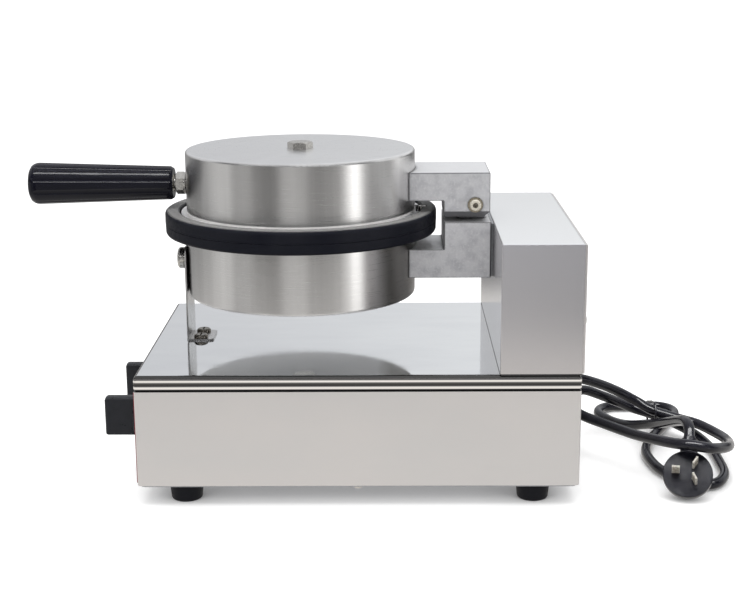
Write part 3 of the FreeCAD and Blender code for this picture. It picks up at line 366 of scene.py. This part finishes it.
def polished_steel():
    """Deck: mirror-polished with smeared dirt, and painted reflections and painted shade drawn as lines
    along its skirt.
    """
    surface = Surface("polished_steel", (0.77, 0.78, 0.785), 0.06, 1.0)
    smears = surface.noise(14, 5, (1, 2.5, 1))
    surface.roughen(smears, 0.035, 0.10)
    surface.tint(smears, (0.70, 0.71, 0.725), 0.5)
    # Painted reflections and painted shade: bright and dark lines down the skirt by depth below the deck
    depth = surface.math("SUBTRACT", DECK_TOP, surface.height)
    painted_skirt_light = [(place * MM, (grey, 0.97 * grey, 0.94 * grey)) for place, grey in SKIRT_PAINTED_LIGHT]
    on_skirt = surface.between(surface.facing_up, 1.0, 0.0, 0.93, 0.985)
    surface.cover(on_skirt, surface.ramp(depth, painted_skirt_light))
    return surface.bump(surface.noise(3200, 2, (1, 0.08, 1)), 1.5 * MICRON)


def satin_steel(name, seam_height):
    """Side sheets: satin steel that scatters the studio evenly, with painted highlights along the edges and
    painted shade in the seam gap above seam_height.
    """
    surface = Surface(name, (0.68, 0.655, 0.638), 0.36, 0.72)
    grain = surface.noise(2600, 3, (0.03, 1, 1))
    surface.roughen(grain, 0.31, 0.40)
    surface.tint(surface.noise(9, 4, (1, 1, 2)), (0.64, 0.63, 0.62), 0.6)
    # Painted highlight: lighter along the edges
    surface.tint(surface.edge(0.6 * MM), (0.90, 0.89, 0.87), 0.45, 0.02, 0.25)
    # Painted shade: dark in the seam gap above seam_height
    surface.tint(surface.height, (0.015, 0.015, 0.016), 1.0, seam_height, seam_height + 0.3 * MM)
    return surface.bump(grain, 3 * MICRON)


def column_steel():
    """Column cover: brighter-polished sheet with painted light, lighter and cooler towards its top, a
    painted highlight on top faces, and painted shade where it meets the deck.
    """
    surface = Surface("column_steel", (0.58, 0.56, 0.555), 0.20, 0.85)
    foot, top = DECK_TOP - 0.5 * MM, COLUMN_TOP - 2.3 * MM
    # Painted light: lighter and cooler towards the top
    surface.tint(surface.height, (0.67, 0.66, 0.69), 0.9, foot, top)
    # Painted highlight: top faces near white
    surface.tint(surface.facing_up, (0.93, 0.935, 0.94), 1.0, 0.6, 0.95)
    # Painted shade: dark in the gap where the column meets the deck
    surface.tint(surface.height, (0.02, 0.02, 0.02), 0.95, COLUMN_SEAM, COLUMN_SEAM - 0.4 * MM)
    grain = surface.noise(2600, 3, (1, 1, 0.03))
    surface.roughen(grain, 0.16, 0.24)
    surface.tint(surface.edge(0.7 * MM), (0.20, 0.20, 0.21), 0.6, 0.02, 0.2)
    return surface.bump(grain, 2 * MICRON)


def bracket_steel():
    """Front strap: plain ground strip with dark edges."""
    surface = Surface("bracket_steel", (0.58, 0.575, 0.57), 0.26, 0.9)
    grain = surface.noise(1800, 3, (1, 1, 0.05))
    surface.tint(surface.noise(120, 4), (0.44, 0.43, 0.42), 0.6).roughen(grain, 0.2, 0.34)
    surface.tint(surface.edge(0.6 * MM), (0.04, 0.04, 0.04), 1.0, 0.01, 0.1)
    return surface.bump(grain, 4 * MICRON)


def spun_steel(name, hinge_side_darkening=0.0, edge_dirt=0.0, lip_height=None):
    """Drums: turned stainless whose circular grain draws highlights into upright streaks.

    hinge_side_darkening darkens and browns the side towards the hinge, and edge_dirt darkens the edges.
    Faces that look down are matt and painted bright, a painted light that lifts their reflection in
    the deck, and a lip that starts at lip_height is matt and bright as well. Top faces are painted
    lighter, a painted highlight, and darker upright streaks are painted reflections.
    """
    surface = Surface(name, (0.80, 0.79, 0.775), 0.30, 1.0)
    grain = surface.noise(1, 3, place=surface.around(3800, 2.5))
    painted_streaks = surface.noise(1, 4, place=surface.around(2.0, 9))
    surface.roughen(grain, 0.27, 0.315)
    # Painted reflections: darker upright streaks round the drum
    surface.tint(painted_streaks, (0.60, 0.59, 0.58), 0.55)
    surface.tint(grain, (0.70, 0.69, 0.68), 0.10)
    # Painted highlight: top faces lighter
    surface.tint(surface.facing_up, (0.84, 0.84, 0.845), 0.8, 0.7, 0.98)
    # Painted light: faces that look down made near white so their reflection in the deck is bright
    surface.tint(surface.facing_up, (0.97, 0.97, 0.97), 1.0, -0.5, -0.95)
    surface.tint(surface.edge(0.8 * MM), (0.30, 0.29, 0.28), edge_dirt, 0.02, 0.2)
    # Darker and browner towards the hinge side
    surface.tint(surface.x, (0.20, 0.19, 0.17), hinge_side_darkening, HEAD_X + 65 * MM, HEAD_X + 78 * MM)
    metal = surface.between(surface.facing_up, 0.0, 1.0, -0.9, -0.3)
    if lip_height is not None:
        off_lip = surface.between(surface.height, 0.0, 1.0, lip_height + 1.4 * MM, lip_height + 2.0 * MM)
        metal = surface.math("MULTIPLY", metal, off_lip)
    surface.set("Metallic", metal)
    surface.set("Anisotropic", surface.between(surface.facing_up, 0.78, 0.1, 0.2, 0.9))
    surface.set("Anisotropic Rotation", 0.25)
    surface.set("Tangent", surface.add("Tangent", direction_type="RADIAL", axis="Z").outputs[0])
    return surface.bump(grain, 0.8 * MICRON)


def galvanised_steel():
    """Spacers and inner plates: spangled zinc, with painted shade in gaps."""
    surface = Surface("galvanised_steel", (0.42, 0.43, 0.45), 0.38, 0.95)
    flakes = surface.noise(160, 2)
    surface.tint(flakes, (0.56, 0.57, 0.60), 0.6).roughen(flakes, 0.28, 0.48)
    return surface.paint_gap_shade().bump(surface.noise(900, 3), 10 * MICRON)


# ---------------------------------------------------------------- castings and fittings

def screw_steel(name, colour):
    """Screws, nuts and bolts: bright, with painted shade darkening their edges and recesses."""
    surface = Surface(name, colour, 0.20, 1.0)
    wear = surface.noise(700, 4)
    worn_colour = tuple(0.6 * part for part in colour)
    surface.tint(wear, worn_colour, 0.6).roughen(wear, 0.14, 0.34)
    # Painted shade: darker along edges and in recesses
    surface.tint(surface.edge(0.5 * MM), (0.14, 0.13, 0.12), 0.7, 0.04, 0.3)
    return surface.bump(surface.noise(2400, 2), 12 * MICRON)


def cast_aluminium():
    """Sand-cast hinge blocks: mottled and specked grey, painted lighter on top faces where light falls, dark
    along edges, and painted shade in gaps.
    """
    surface = Surface("cast_aluminium", (0.68, 0.68, 0.70), 0.46, 0.6)
    mottle = surface.noise(95, 6)
    specks = surface.noise(480, 5)
    surface.tint(mottle, (0.46, 0.46, 0.49), 0.7, 0.45, 0.70)
    surface.tint(specks, (0.84, 0.84, 0.85), 0.6, 0.5, 0.74)
    # Painted highlight: top faces lighter
    surface.tint(surface.facing_up, (0.76, 0.76, 0.77), 0.85, 0.6, 0.95)
    surface.tint(surface.edge(1.6 * MM), (0.05, 0.05, 0.055), 0.95, 0.01, 0.08)
    surface.tint(surface.off_axis(), (0.16, 0.16, 0.17), 0.9, 0.01, 0.08)
    # Painted shade in the gaps between the blocks
    surface.paint_gap_shade().roughen(specks, 0.34, 0.58)
    return surface.bump(mottle, 600 * MICRON, 0.8).bump(specks, 250 * MICRON)


def plate_casting():
    """Baking plates: turned casting browned by baking, with a bright rim outside the drum."""
    surface = Surface("plate_casting", (0.30, 0.30, 0.30), 0.42, 0.85)
    turned = surface.noise(1, 3, place=surface.around(2400, 2))
    surface.tint(surface.noise(60, 5), (0.16, 0.14, 0.12), 0.6)
    surface.tint(turned, (0.42, 0.42, 0.42), 0.4)
    surface.tint(surface.distance_from_head(), (0.95, 0.94, 0.93), 1.0, 97 * MM, 98 * MM)
    return surface.roughen(turned, 0.33, 0.5).bump(turned, 10 * MICRON)


def brass():
    """Bushes and terminals."""
    surface = Surface("brass", (0.86, 0.79, 0.62), 0.20, 0.9)
    tarnish = surface.noise(450, 4)
    surface.tint(tarnish, (0.66, 0.57, 0.40), 0.5).roughen(tarnish, 0.16, 0.34)
    return surface.bump(surface.noise(3000, 2, (1, 1, 0.1)), 6 * MICRON)


def blade_nickel():
    """Plug blades: plated, with painted highlights along their edges and dull between."""
    surface = Surface("blade_nickel", (0.34, 0.31, 0.26), 0.24, 0.2)
    tarnish = surface.noise(450, 4)
    surface.tint(tarnish, (0.50, 0.46, 0.38), 0.5).roughen(tarnish, 0.18, 0.34)
    # Painted highlight: bright along the edges
    surface.tint(surface.edge(1.1 * MM), (0.98, 0.95, 0.88), 1.0, 0.02, 0.10)
    return surface.bump(surface.noise(3000, 2, (1, 1, 0.1)), 6 * MICRON)


def pin_nickel():
    """Hinge pin: bright plated heads with painted shade in the socket."""
    surface = Surface("pin_nickel", (0.93, 0.88, 0.76), 0.18, 0.6)
    wear = surface.noise(600, 4)
    surface.tint(surface.edge(0.7 * MM), (0.10, 0.08, 0.05), 0.85, 0.03, 0.25)
    # Painted shade: near black in the socket round the hinge axis
    surface.tint(surface.distance_from_hinge(), (0.03, 0.025, 0.02), 1.0, 2.5 * MM, 2.1 * MM)
    surface.tint(wear, (0.62, 0.56, 0.44), 0.5).roughen(wear, 0.12, 0.32)
    return surface.bump(surface.noise(2500, 2), 10 * MICRON)


# ---------------------------------------------------------------- black pieces, print and the rest

def black_moulding():
    """Knobs and plug: fine-textured thermoplastic."""
    surface = Surface("black_moulding", (0.008, 0.009, 0.012), 0.34, Specular_IOR_Level=0.26)
    haze = surface.noise(120, 4)
    surface.tint(haze, (0.014, 0.015, 0.019), 0.7).roughen(haze, 0.26, 0.42)
    # Painted highlight: lighter along the edges
    surface.tint(surface.edge(0.6 * MM), (0.05, 0.05, 0.055), 0.7, 0.02, 0.3)
    return surface.bump(surface.noise(3000, 2), 12 * MICRON)


def black_phenolic():
    """Handle: glossy moulded phenolic."""
    surface = Surface("black_phenolic", (0.003, 0.003, 0.006), 0.13, Specular_IOR_Level=0.2)
    haze = surface.noise(90, 4, (0.2, 1, 1))
    surface.tint(haze, (0.006, 0.006, 0.010), 0.7).roughen(haze, 0.10, 0.18)
    return surface.bump(surface.noise(1500, 3, (0.15, 1, 1)), 12 * MICRON)


def ring_black():
    """Drip ring: black baked coating over a casting; the top rim is painted greyer, a painted sheen together
    with rub wear.
    """
    surface = Surface("ring_black", (0.005, 0.0055, 0.009), 0.42, Specular_IOR_Level=0.09)
    crumbs = surface.noise(420, 5)
    surface.tint(surface.noise(38, 5), (0.009, 0.0095, 0.013), 0.7)
    # Painted sheen with rub wear: top rim greyer
    surface.tint(surface.facing_up, (0.17, 0.168, 0.165), 0.9, 0.90, 0.995)
    return surface.roughen(crumbs, 0.30, 0.52).bump(crumbs, 70 * MICRON)


def rubber():
    """Feet: dusty matt rubber."""
    surface = Surface("rubber", (0.004, 0.0045, 0.007), 0.5, Specular_IOR_Level=0.14)
    dust = surface.noise(240, 5)
    surface.tint(dust, (0.010, 0.010, 0.013), 0.6).roughen(dust, 0.46, 0.68)
    return surface.bump(surface.noise(1600, 3), 30 * MICRON)


def cord_black():
    """Mains cord jacket: extruded vinyl with a soft sheen."""
    surface = Surface("cord_black", (0.003, 0.003, 0.005), 0.17, Specular_IOR_Level=0.30)
    rub = surface.noise(85, 4)
    surface.tint(rub, (0.008, 0.008, 0.011), 0.7).roughen(rub, 0.14, 0.24)
    return surface.bump(surface.noise(520, 3), 12 * MICRON)


def overlay():
    """Printed film on the front panel."""
    surface = Surface("overlay", (0.62, 0.62, 0.61), 0.34, Coat_Weight=0.3)
    weave = surface.noise(1500, 2)
    surface.tint(weave, (0.70, 0.70, 0.69), 0.5).roughen(weave, 0.28, 0.42)
    return surface.bump(weave, 8 * MICRON)


def ink(name, colour):
    """Printing ink, slightly patchy."""
    surface = Surface(name, colour, 0.4)
    patches = surface.noise(900, 3)
    thin_colour = tuple(0.8 * part for part in colour)
    surface.tint(patches, thin_colour, 0.5).roughen(patches, 0.32, 0.5)
    return surface.bump(patches, 8 * MICRON)


def lamp_lens():
    """Indicator lamps: clear red plastic."""
    surface = Surface("lamp_lens", (0.55, 0.03, 0.015), 0.12, Transmission_Weight=0.25, Coat_Weight=0.5)
    depth = surface.noise(400, 2)
    surface.tint(depth, (0.32, 0.015, 0.01), 0.6).roughen(depth, 0.08, 0.2)
    return surface.bump(surface.noise(900, 1), 30 * MICRON)


def plain_part(name, colour, roughness, metallic=0.0):
    """Hidden and small parts: a mottled colour with uneven sheen and fine relief."""
    surface = Surface(name, colour, roughness, metallic)
    mottle = surface.noise(180, 4)
    surface.tint(mottle, tuple(0.7 * part for part in colour), 0.6)
    surface.roughen(mottle, 0.8 * roughness, min(1.0, 1.2 * roughness))
    return surface.bump(surface.noise(1400, 3), 20 * MICRON)


SLOT_SURFACES = {
    "polished_steel": polished_steel(),
    "satin_steel": satin_steel("panel_steel", HOUSING_SEAM),
    "brushed_steel": spun_steel("spun_steel", lip_height=UPPER_SHELL_BOTTOM),
    "galvanised_steel": galvanised_steel(),
    "screw_steel": screw_steel("screw_steel", (0.66, 0.64, 0.60)),
    "rubber": rubber(),
    "overlay": overlay(),
    "lamp_lens": lamp_lens(),
    "cast_aluminium": cast_aluminium(),
    "plate_casting": plate_casting(),
    "brass": brass(),
    "pin_nickel": pin_nickel(),
    "black_moulding": black_moulding(),
    "element_sheath": plain_part("element_sheath", (0.22, 0.20, 0.18), 0.42, 0.9),
    "ceramic_fibre": plain_part("ceramic_fibre", (0.75, 0.73, 0.68), 0.9),
    "black_phenolic": black_phenolic(),
    "control_body": plain_part("control_body", (0.30, 0.28, 0.24), 0.45),
    "terminal_plastic": plain_part("terminal_plastic", (0.72, 0.70, 0.64), 0.4),
    "lead_sleeve": plain_part("lead_sleeve", (0.62, 0.60, 0.54), 0.7),
    "cord_black": cord_black(),
}
NODE_SURFACES = {
    "column_housing": column_steel(),
    "column_rear_cover": satin_steel("cover_steel", COVER_TOP),
    "lower_shell": spun_steel("hinge_side_dark_steel", hinge_side_darkening=0.8, edge_dirt=0.9),
    "drip_ring": ring_black(),
    "front_bracket": bracket_steel(),
    "bracket_screws": screw_steel("dull_screw", (0.30, 0.275, 0.24)),
    "hinge_washers": screw_steel("dull_washer", (0.55, 0.49, 0.38)),
    "plug_blades": blade_nickel(),
}
RED_INK = ink("red_ink", (0.24, 0.02, 0.03))
BLACK_INK = ink("black_ink", (0.02, 0.02, 0.022))
WHITE_INK = ink("white_ink", (0.78, 0.78, 0.76))


def paint(thing, surface):
    thing.data.materials.clear()
    thing.data.materials.append(surface.material)


def paint_cad_nodes():
    for name, node in frame["nodes"].items():
        slot_name = node.data.materials[0].name.split(".")[0]
        paint(node, NODE_SURFACES.get(name, SLOT_SURFACES[slot_name]))


# ---------------------------------------------------------------- mesh helpers

def linked_object(name, data):
    thing = bpy.data.objects.new(name, data)
    bpy.context.scene.collection.objects.link(thing)
    return thing


def mesh_object(name, shape):
    """Turns a bmesh into a linked object with outward faces."""
    bmesh.ops.recalc_face_normals(shape, faces=shape.faces)
    mesh = bpy.data.meshes.new(name)
    shape.to_mesh(mesh)
    shape.free()
    return linked_object(name, mesh)


def shown_mesh(thing):
    """A new mesh of the object as its modifiers or curve settings show it."""
    bpy.context.view_layer.update()
    return bpy.data.meshes.new_from_object(thing.evaluated_get(bpy.context.evaluated_depsgraph_get()))


def smooth(thing, angle):
    for face in thing.data.polygons:
        face.use_smooth = True
    thing.data.set_sharp_from_angle(angle=math.radians(angle))


def close_between(shape, first, second):
    """Joins two rings of corners with a band of faces."""
    for corner in range(len(first)):
        following = (corner + 1) % len(first)
        shape.faces.new((first[corner], first[following], second[following], second[corner]))


def add_box(shape, low, high):
    """Adds a closed box between two corners to a bmesh."""
    centre = (Vector(low) + Vector(high)) / 2
    size = Vector(high) - Vector(low)
    bmesh.ops.create_cube(shape, size=1.0, matrix=Matrix.Translation(centre) @ Matrix.Diagonal((*size, 1.0)))


# ---------------------------------------------------------------- mains cord

def curve_through(points, steps):
    """Catmull-Rom curve through points."""
    ends = [2 * points[0] - points[1]] + points + [2 * points[-1] - points[-2]]
    path = []
    for a, b, c, d in zip(ends, ends[1:], ends[2:], ends[3:]):
        for step in range(steps):
            t = step / steps
            path.append(0.5 * (2 * b + (c - a) * t + (2 * a - 5 * b + 4 * c - d) * t * t
                               + (3 * b - a - 3 * c + d) * t ** 3))
    return path + [points[-1]]


def tube(name, path, radius, sides):
    """A closed round tube along path, without twist."""
    shape = bmesh.new()
    side = Vector((0, 0, 1))
    rings = []
    for index, point in enumerate(path):
        ahead = path[min(index + 1, len(path) - 1)] - path[max(index - 1, 0)]
        ahead.normalize()
        side = (side - side.dot(ahead) * ahead).normalized()
        other = ahead.cross(side)
        ring = []
        for corner in range(sides):
            angle = 2 * math.pi * corner / sides
            ring.append(shape.verts.new(point + radius * (math.cos(angle) * side + math.sin(angle) * other)))
        rings.append(ring)
    for first, second in zip(rings, rings[1:]):
        close_between(shape, first, second)
    shape.faces.new(rings[0][::-1])
    shape.faces.new(rings[-1])
    thing = mesh_object(name, shape)
    smooth(thing, 40)
    return thing


def make_mains_cord():
    path = curve_through([Vector(point) * MM for point in CORD_PATH], CORD_STEPS)
    cord = tube("mains_cord", path, CORD_RADIUS, CORD_SIDES)
    paint(cord, SLOT_SURFACES["cord_black"])
    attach(cord, "base")
    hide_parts("power_cord")


# ---------------------------------------------------------------- baking plates

def groove_cutter(face, inward, along_x):
    """V-shaped bars across a baking face; inward is +1 when the metal lies above the face."""
    shape = bmesh.new()
    rows = int(GRID_REACH / GRID_PITCH)
    for row in range(-rows, rows + 1):
        offset = row * GRID_PITCH
        reach = math.sqrt(GRID_REACH ** 2 - offset ** 2)
        ends = []
        for end in (-reach, reach):
            corners = []
            for across, depth in ((-2, -1), (2, -1), (0, 1)):
                beside = offset + across * GRID_HALF_WIDTH
                level = face + inward * depth * GRID_DEPTH
                x, y = (end, beside) if along_x else (beside, end)
                corners.append(shape.verts.new((HEAD_X + x, y, level)))
            ends.append(corners)
        shape.faces.new(ends[0])
        shape.faces.new(ends[1][::-1])
        close_between(shape, *ends)
    return mesh_object("groove_cutter", shape)


def make_waffle_plate(name, node_name, body, face, inward):
    """The CAD plate with a square waffle grid cut into its baking face."""
    shape = bmesh.new()
    shape.from_mesh(frame["nodes"][node_name].data)
    bmesh.ops.remove_doubles(shape, verts=shape.verts, dist=0.002 * MM)
    plate = mesh_object(name, shape)
    cutters = [groove_cutter(face, inward, along_x) for along_x in (True, False)]
    for cutter in cutters:
        cut = plate.modifiers.new("cut", "BOOLEAN")
        cut.operation = "DIFFERENCE"
        cut.solver = "EXACT"
        cut.object = cutter
    mesh = shown_mesh(plate)
    plate.modifiers.clear()
    plate.data = mesh
    for cutter in cutters:
        bpy.data.objects.remove(cutter)
    smooth(plate, 25)
    paint(plate, SLOT_SURFACES["plate_casting"])
    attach(plate, body)
    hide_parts(node_name)


def make_waffle_plates():
    lower_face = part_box("lower_plate")[1].z - PLATE_RECESS
    upper_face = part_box("upper_plate")[0].z + PLATE_RECESS
    make_waffle_plate("lower_waffle_plate", "lower_plate", "base", lower_face, -1)
    make_waffle_plate("upper_waffle_plate", "upper_plate", "lid", upper_face, 1)


# ---------------------------------------------------------------- printing

def make_border():
    """Red line printed round the front overlay."""
    low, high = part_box("front_overlay")
    front, back = low.x - PRINT_PROUD, high.x - PRINT_SUNK
    near, far = low.y - PRINT_PROUD, high.y + PRINT_PROUD
    inner_bottom, inner_top = low.z + BORDER_WIDTH, high.z - BORDER_WIDTH
    shape = bmesh.new()
    add_box(shape, (front, near, low.z), (back, far, inner_bottom))
    add_box(shape, (front, near, inner_top), (back, far, high.z))
    add_box(shape, (front, near, inner_bottom), (back, near + BORDER_WIDTH, inner_top))
    add_box(shape, (front, far - BORDER_WIDTH, inner_bottom), (back, far, inner_top))
    border = mesh_object("front_border", shape)
    paint(border, RED_INK)
    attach(border, "base")


def numeral_mesh(text, matrix):
    """A thin solid numeral as mesh data."""
    curve = bpy.data.curves.new("numeral", "FONT")
    curve.body = text
    curve.size = NUMBER_HEIGHT
    curve.align_x = "CENTER"
    curve.align_y = "CENTER"
    curve.extrude = NUMBER_HALF_THICKNESS
    holder = linked_object("numeral", curve)
    mesh = shown_mesh(holder)
    mesh.transform(matrix)
    bpy.data.objects.remove(holder)
    return mesh


def make_dial(name, knob, labels, sweep):
    """Tick marks and generic numbers on the overlay round one knob."""
    low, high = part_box(knob)
    centre = middle_of(knob)
    centre.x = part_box("front_overlay")[0].x
    knob_radius = (high.y - low.y) / 2
    tick_radius = knob_radius + TICK_GAP + TICK_LENGTH / 2
    number_radius = knob_radius + NUMBER_GAP
    tick_size = Matrix.Diagonal((TICK_THICKNESS, TICK_WIDTH, TICK_LENGTH, 1.0))
    facing_front = Matrix(((0, 0, -1, 0), (-1, 0, 0, 0), (0, 1, 0, 0), (0, 0, 0, 1)))
    proud = Vector((-NUMBER_HALF_THICKNESS / 2, 0, 0))
    shape = bmesh.new()
    for index, label in enumerate(labels):
        turn = math.radians(-sweep / 2 + sweep * index / (len(labels) - 1))
        outward = Vector((0, -math.sin(turn), math.cos(turn)))
        to_tick = Matrix.Translation(centre + outward * tick_radius)
        tilt = Matrix.Rotation(turn, 4, Vector((1, 0, 0)))
        bmesh.ops.create_cube(shape, size=1.0, matrix=to_tick @ tilt @ tick_size)
        to_number = Matrix.Translation(centre + proud + outward * number_radius)
        numeral = numeral_mesh(label, to_number @ facing_front)
        shape.from_mesh(numeral)
        bpy.data.meshes.remove(numeral)
    dial = mesh_object(name, shape)
    paint(dial, BLACK_INK)
    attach(dial, "base")


def make_pointer(name, knob, body):
    """White line inlaid in the front face of a knob, from near its middle to its upper edge."""
    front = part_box(knob)[0].x
    centre = middle_of(knob)
    half_width = 0.6 * MM
    inner, outer = 3 * MM, 11 * MM
    proud, sunk = 0.05 * MM, 0.15 * MM
    shape = bmesh.new()
    add_box(shape, (front - proud, centre.y - half_width, centre.z + inner),
            (front + sunk, centre.y + half_width, centre.z + outer))
    pointer = mesh_object(name, shape)
    paint(pointer, WHITE_INK)
    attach(pointer, body)


def make_printing():
    make_border()
    make_dial("temperature_dial", "temperature_knob", TEMPERATURE_LABELS, TEMPERATURE_SWEEP)
    make_dial("timer_dial", "timer_knob", TIMER_LABELS, TIMER_SWEEP)
    make_pointer("temperature_pointer", "temperature_knob", "temperature_control")
    make_pointer("timer_pointer", "timer_knob", "timer_control")


# ---------------------------------------------------------------- studio

def studio_bands(tree, x, y):
    """Brightness of walls and far floor by compass direction."""
    degrees = tree.math("DEGREES", tree.math("ARCTAN2", x, tree.math("MULTIPLY", y, -1.0)))
    return tree.ramp(degrees, [(place, (value, value, value)) for place, value in STUDIO_BANDS])


def on_camera_side(tree, y, z, side, bottom, top):
    """One in a band of the room's camera side; side, bottom and top are soft limits."""
    standing = tree.math("MULTIPLY", tree.rise(z, *bottom), tree.fall(z, *top))
    return tree.math("MULTIPLY", tree.fall(y, *side), standing)


def make_world():
    """White studio; reflections see banded walls, a bright ceiling, a dark camera side and a softbox."""
    world = bpy.data.worlds.new("studio")
    bpy.context.scene.world = world
    world.use_nodes = True
    world.node_tree.nodes.clear()
    tree = Nodes(world.node_tree)
    x, y, z = tree.split(tree.add("TexCoord").outputs["Generated"])
    ceiling = tree.mix(tree.rise(x, -0.16, 0.10), rgba(CEILING_LEFT_COLOUR), rgba(CEILING_RIGHT_COLOUR))
    room = tree.mix(tree.rise(z, 0.05, 0.22), studio_bands(tree, x, y), ceiling)
    dark_part = on_camera_side(tree, y, z, (-0.15, 0.25), (0.04, 0.16), (0.62, 0.78))
    room = tree.mix(dark_part, room, rgba(DARK_ROOM_COLOUR))
    softbox = on_camera_side(tree, y, z, (-0.45, -0.25), (0.38, 0.41), (0.44, 0.47))
    room = tree.mix(softbox, room, rgba(SOFTBOX_COLOUR))
    reflected = tree.add("Background")
    tree.feed(reflected.inputs["Color"], room)
    plain = tree.add("Background")
    tree.feed(plain.inputs["Color"], rgba((1, 1, 1)))
    tree.feed(plain.inputs["Strength"], DAYLIGHT)
    is_glossy = tree.add("LightPath").outputs["Is Glossy Ray"]
    shader = tree.mix_shaders(is_glossy, plain.outputs[0], reflected.outputs[0])
    tree.feed(tree.add("OutputWorld").inputs[0], shader)


def floor_paper(tree):
    """White paper with a faint fibre relief."""
    paper = tree.add("BsdfDiffuse")
    tree.feed(paper.inputs["Color"], rgba((PAPER_GREY, PAPER_GREY, PAPER_GREY)))
    fibres = tree.add("TexNoise")
    tree.feed(fibres.inputs["Scale"], 900)
    relief = tree.add("Bump")
    tree.feed(relief.inputs["Distance"], 20 * MICRON)
    tree.feed(relief.inputs["Height"], fibres.outputs["Fac"])
    tree.feed(paper.inputs["Normal"], relief.outputs[0])
    return paper.outputs[0]


def floor_glow(tree):
    """Lifts the paper to white, with a painted contact shadow close under the machine."""
    # Painted contact shadow: the glow fades where the machine stands close
    contact = tree.add("AmbientOcclusion", samples=8)
    tree.feed(contact.inputs["Distance"], CONTACT_REACH)
    glow = tree.add("Emission")
    tree.feed(glow.inputs["Color"], contact.outputs["Color"])
    tree.feed(glow.inputs["Strength"], PAPER_GLOW)
    return glow.outputs[0]


def floor_reflection(tree):
    """What reflections see of the floor: even near the machine, banded further out."""
    geometry = tree.add("NewGeometry")
    outward = tree.add("VectorMath", operation="SCALE")
    tree.feed(outward.inputs[0], geometry.outputs["Incoming"])
    tree.feed(outward.inputs["Scale"], -1.0)
    x, y, _ = tree.split(outward.outputs[0])
    distance = tree.add("VectorMath", operation="LENGTH")
    tree.feed(distance.inputs[0], geometry.outputs["Position"])
    far = tree.rise(distance.outputs["Value"], NEAR_FLOOR, FAR_FLOOR)
    reflected = tree.add("Emission")
    tree.feed(reflected.inputs["Color"], tree.mix(far, rgba(NEAR_FLOOR_COLOUR), studio_bands(tree, x, y)))
    return reflected.outputs[0]


def floor_material():
    material = bpy.data.materials.new("floor_paper")
    material.use_nodes = True
    material.node_tree.nodes.clear()
    tree = Nodes(material.node_tree)
    path = tree.add("LightPath")
    paper = floor_paper(tree)
    lifted = tree.add("AddShader")
    tree.feed(lifted.inputs[0], paper)
    tree.feed(lifted.inputs[1], floor_glow(tree))
    seen = tree.mix_shaders(path.outputs["Is Camera Ray"], paper, lifted.outputs[0])
    shader = tree.mix_shaders(path.outputs["Is Glossy Ray"], seen, floor_reflection(tree))
    tree.feed(tree.add("OutputMaterial").inputs[0], shader)
    return material


def make_floor():
    """Pale floor that fills the picture."""
    near, far = -FLOOR_REACH, FLOOR_REACH
    mesh = bpy.data.meshes.new("floor")
    mesh.from_pydata([(near, near, 0), (far, near, 0), (far, far, 0), (near, far, 0)], [], [(0, 1, 2, 3)])
    mesh.materials.append(floor_material())
    linked_object("floor", mesh)


def make_light(name, place, aim, size, power):
    """A soft area light that reflections don't see."""
    data = bpy.data.lights.new(name, "AREA")
    data.shape = "RECTANGLE"
    data.size, data.size_y = size
    data.energy = power
    light = linked_object(name, data)
    light.location = place
    light.rotation_euler = (Vector(aim) - Vector(place)).to_track_quat("-Z", "Y").to_euler()
    light.visible_glossy = False
    return light


def make_line_light(name, surface_names, width, power):
    """Long softbox that only some black pieces catch: the bright lines along handle and cord."""
    catchers = bpy.data.collections.new(name + "_catchers")
    for thing in bpy.context.scene.objects:
        if thing.type == "MESH" and thing.data.materials[0].name.split(".")[0] in surface_names:
            catchers.objects.link(thing)
    light = make_light(name, LINE_LIGHT_PLACE, LINE_LIGHT_AIM, (LINE_LIGHT_LENGTH, width), power)
    light.visible_glossy = True
    light.light_linking.receiver_collection = catchers


def make_lights():
    make_light("overhead", (0, -0.2, 1.7), LIGHT_AIM, (1.6, 1.2), 14)
    make_light("front_left", (-1.1, -1.5, 0.9), LIGHT_AIM, (0.5, 1.0), 7)
    make_light("front_right", (1.2, -1.3, 0.8), LIGHT_AIM, (0.3, 1.0), 4)
    make_line_light("hard_line_light", ("black_phenolic", "black_moulding", "ring_black"), 0.10, 16)
    make_line_light("soft_line_light", ("cord_black",), 0.40, 60)


def make_camera():
    turn = Matrix.Rotation(math.radians(CAMERA_YAW), 3, "Z")
    pitch = Matrix.Rotation(math.radians(CAMERA_PITCH), 3, "X")
    roll = Matrix.Rotation(math.radians(CAMERA_ROLL), 3, "Y")
    pose = turn @ pitch @ roll
    right, forward, up = pose.col[0], pose.col[1], pose.col[2]
    facing = Matrix((right, up, -forward)).transposed()
    data = bpy.data.cameras.new("camera")
    data.lens = CAMERA_LENS
    data.sensor_width = CAMERA_SENSOR
    data.shift_x, data.shift_y = CAMERA_SHIFT
    data.clip_end = CAMERA_CLIP_END
    camera = linked_object("camera", data)
    camera.matrix_world = Matrix.Translation(CAMERA_PLACE) @ facing.to_4x4()
    bpy.context.scene.camera = camera


# ---------------------------------------------------------------- build

paint_cad_nodes()
make_mains_cord()
make_waffle_plates()
make_printing()
make_world()
make_floor()
make_lights()
make_camera()
bpy.context.scene.view_settings.view_transform = "Standard"
bpy.context.scene.view_settings.look = "None"
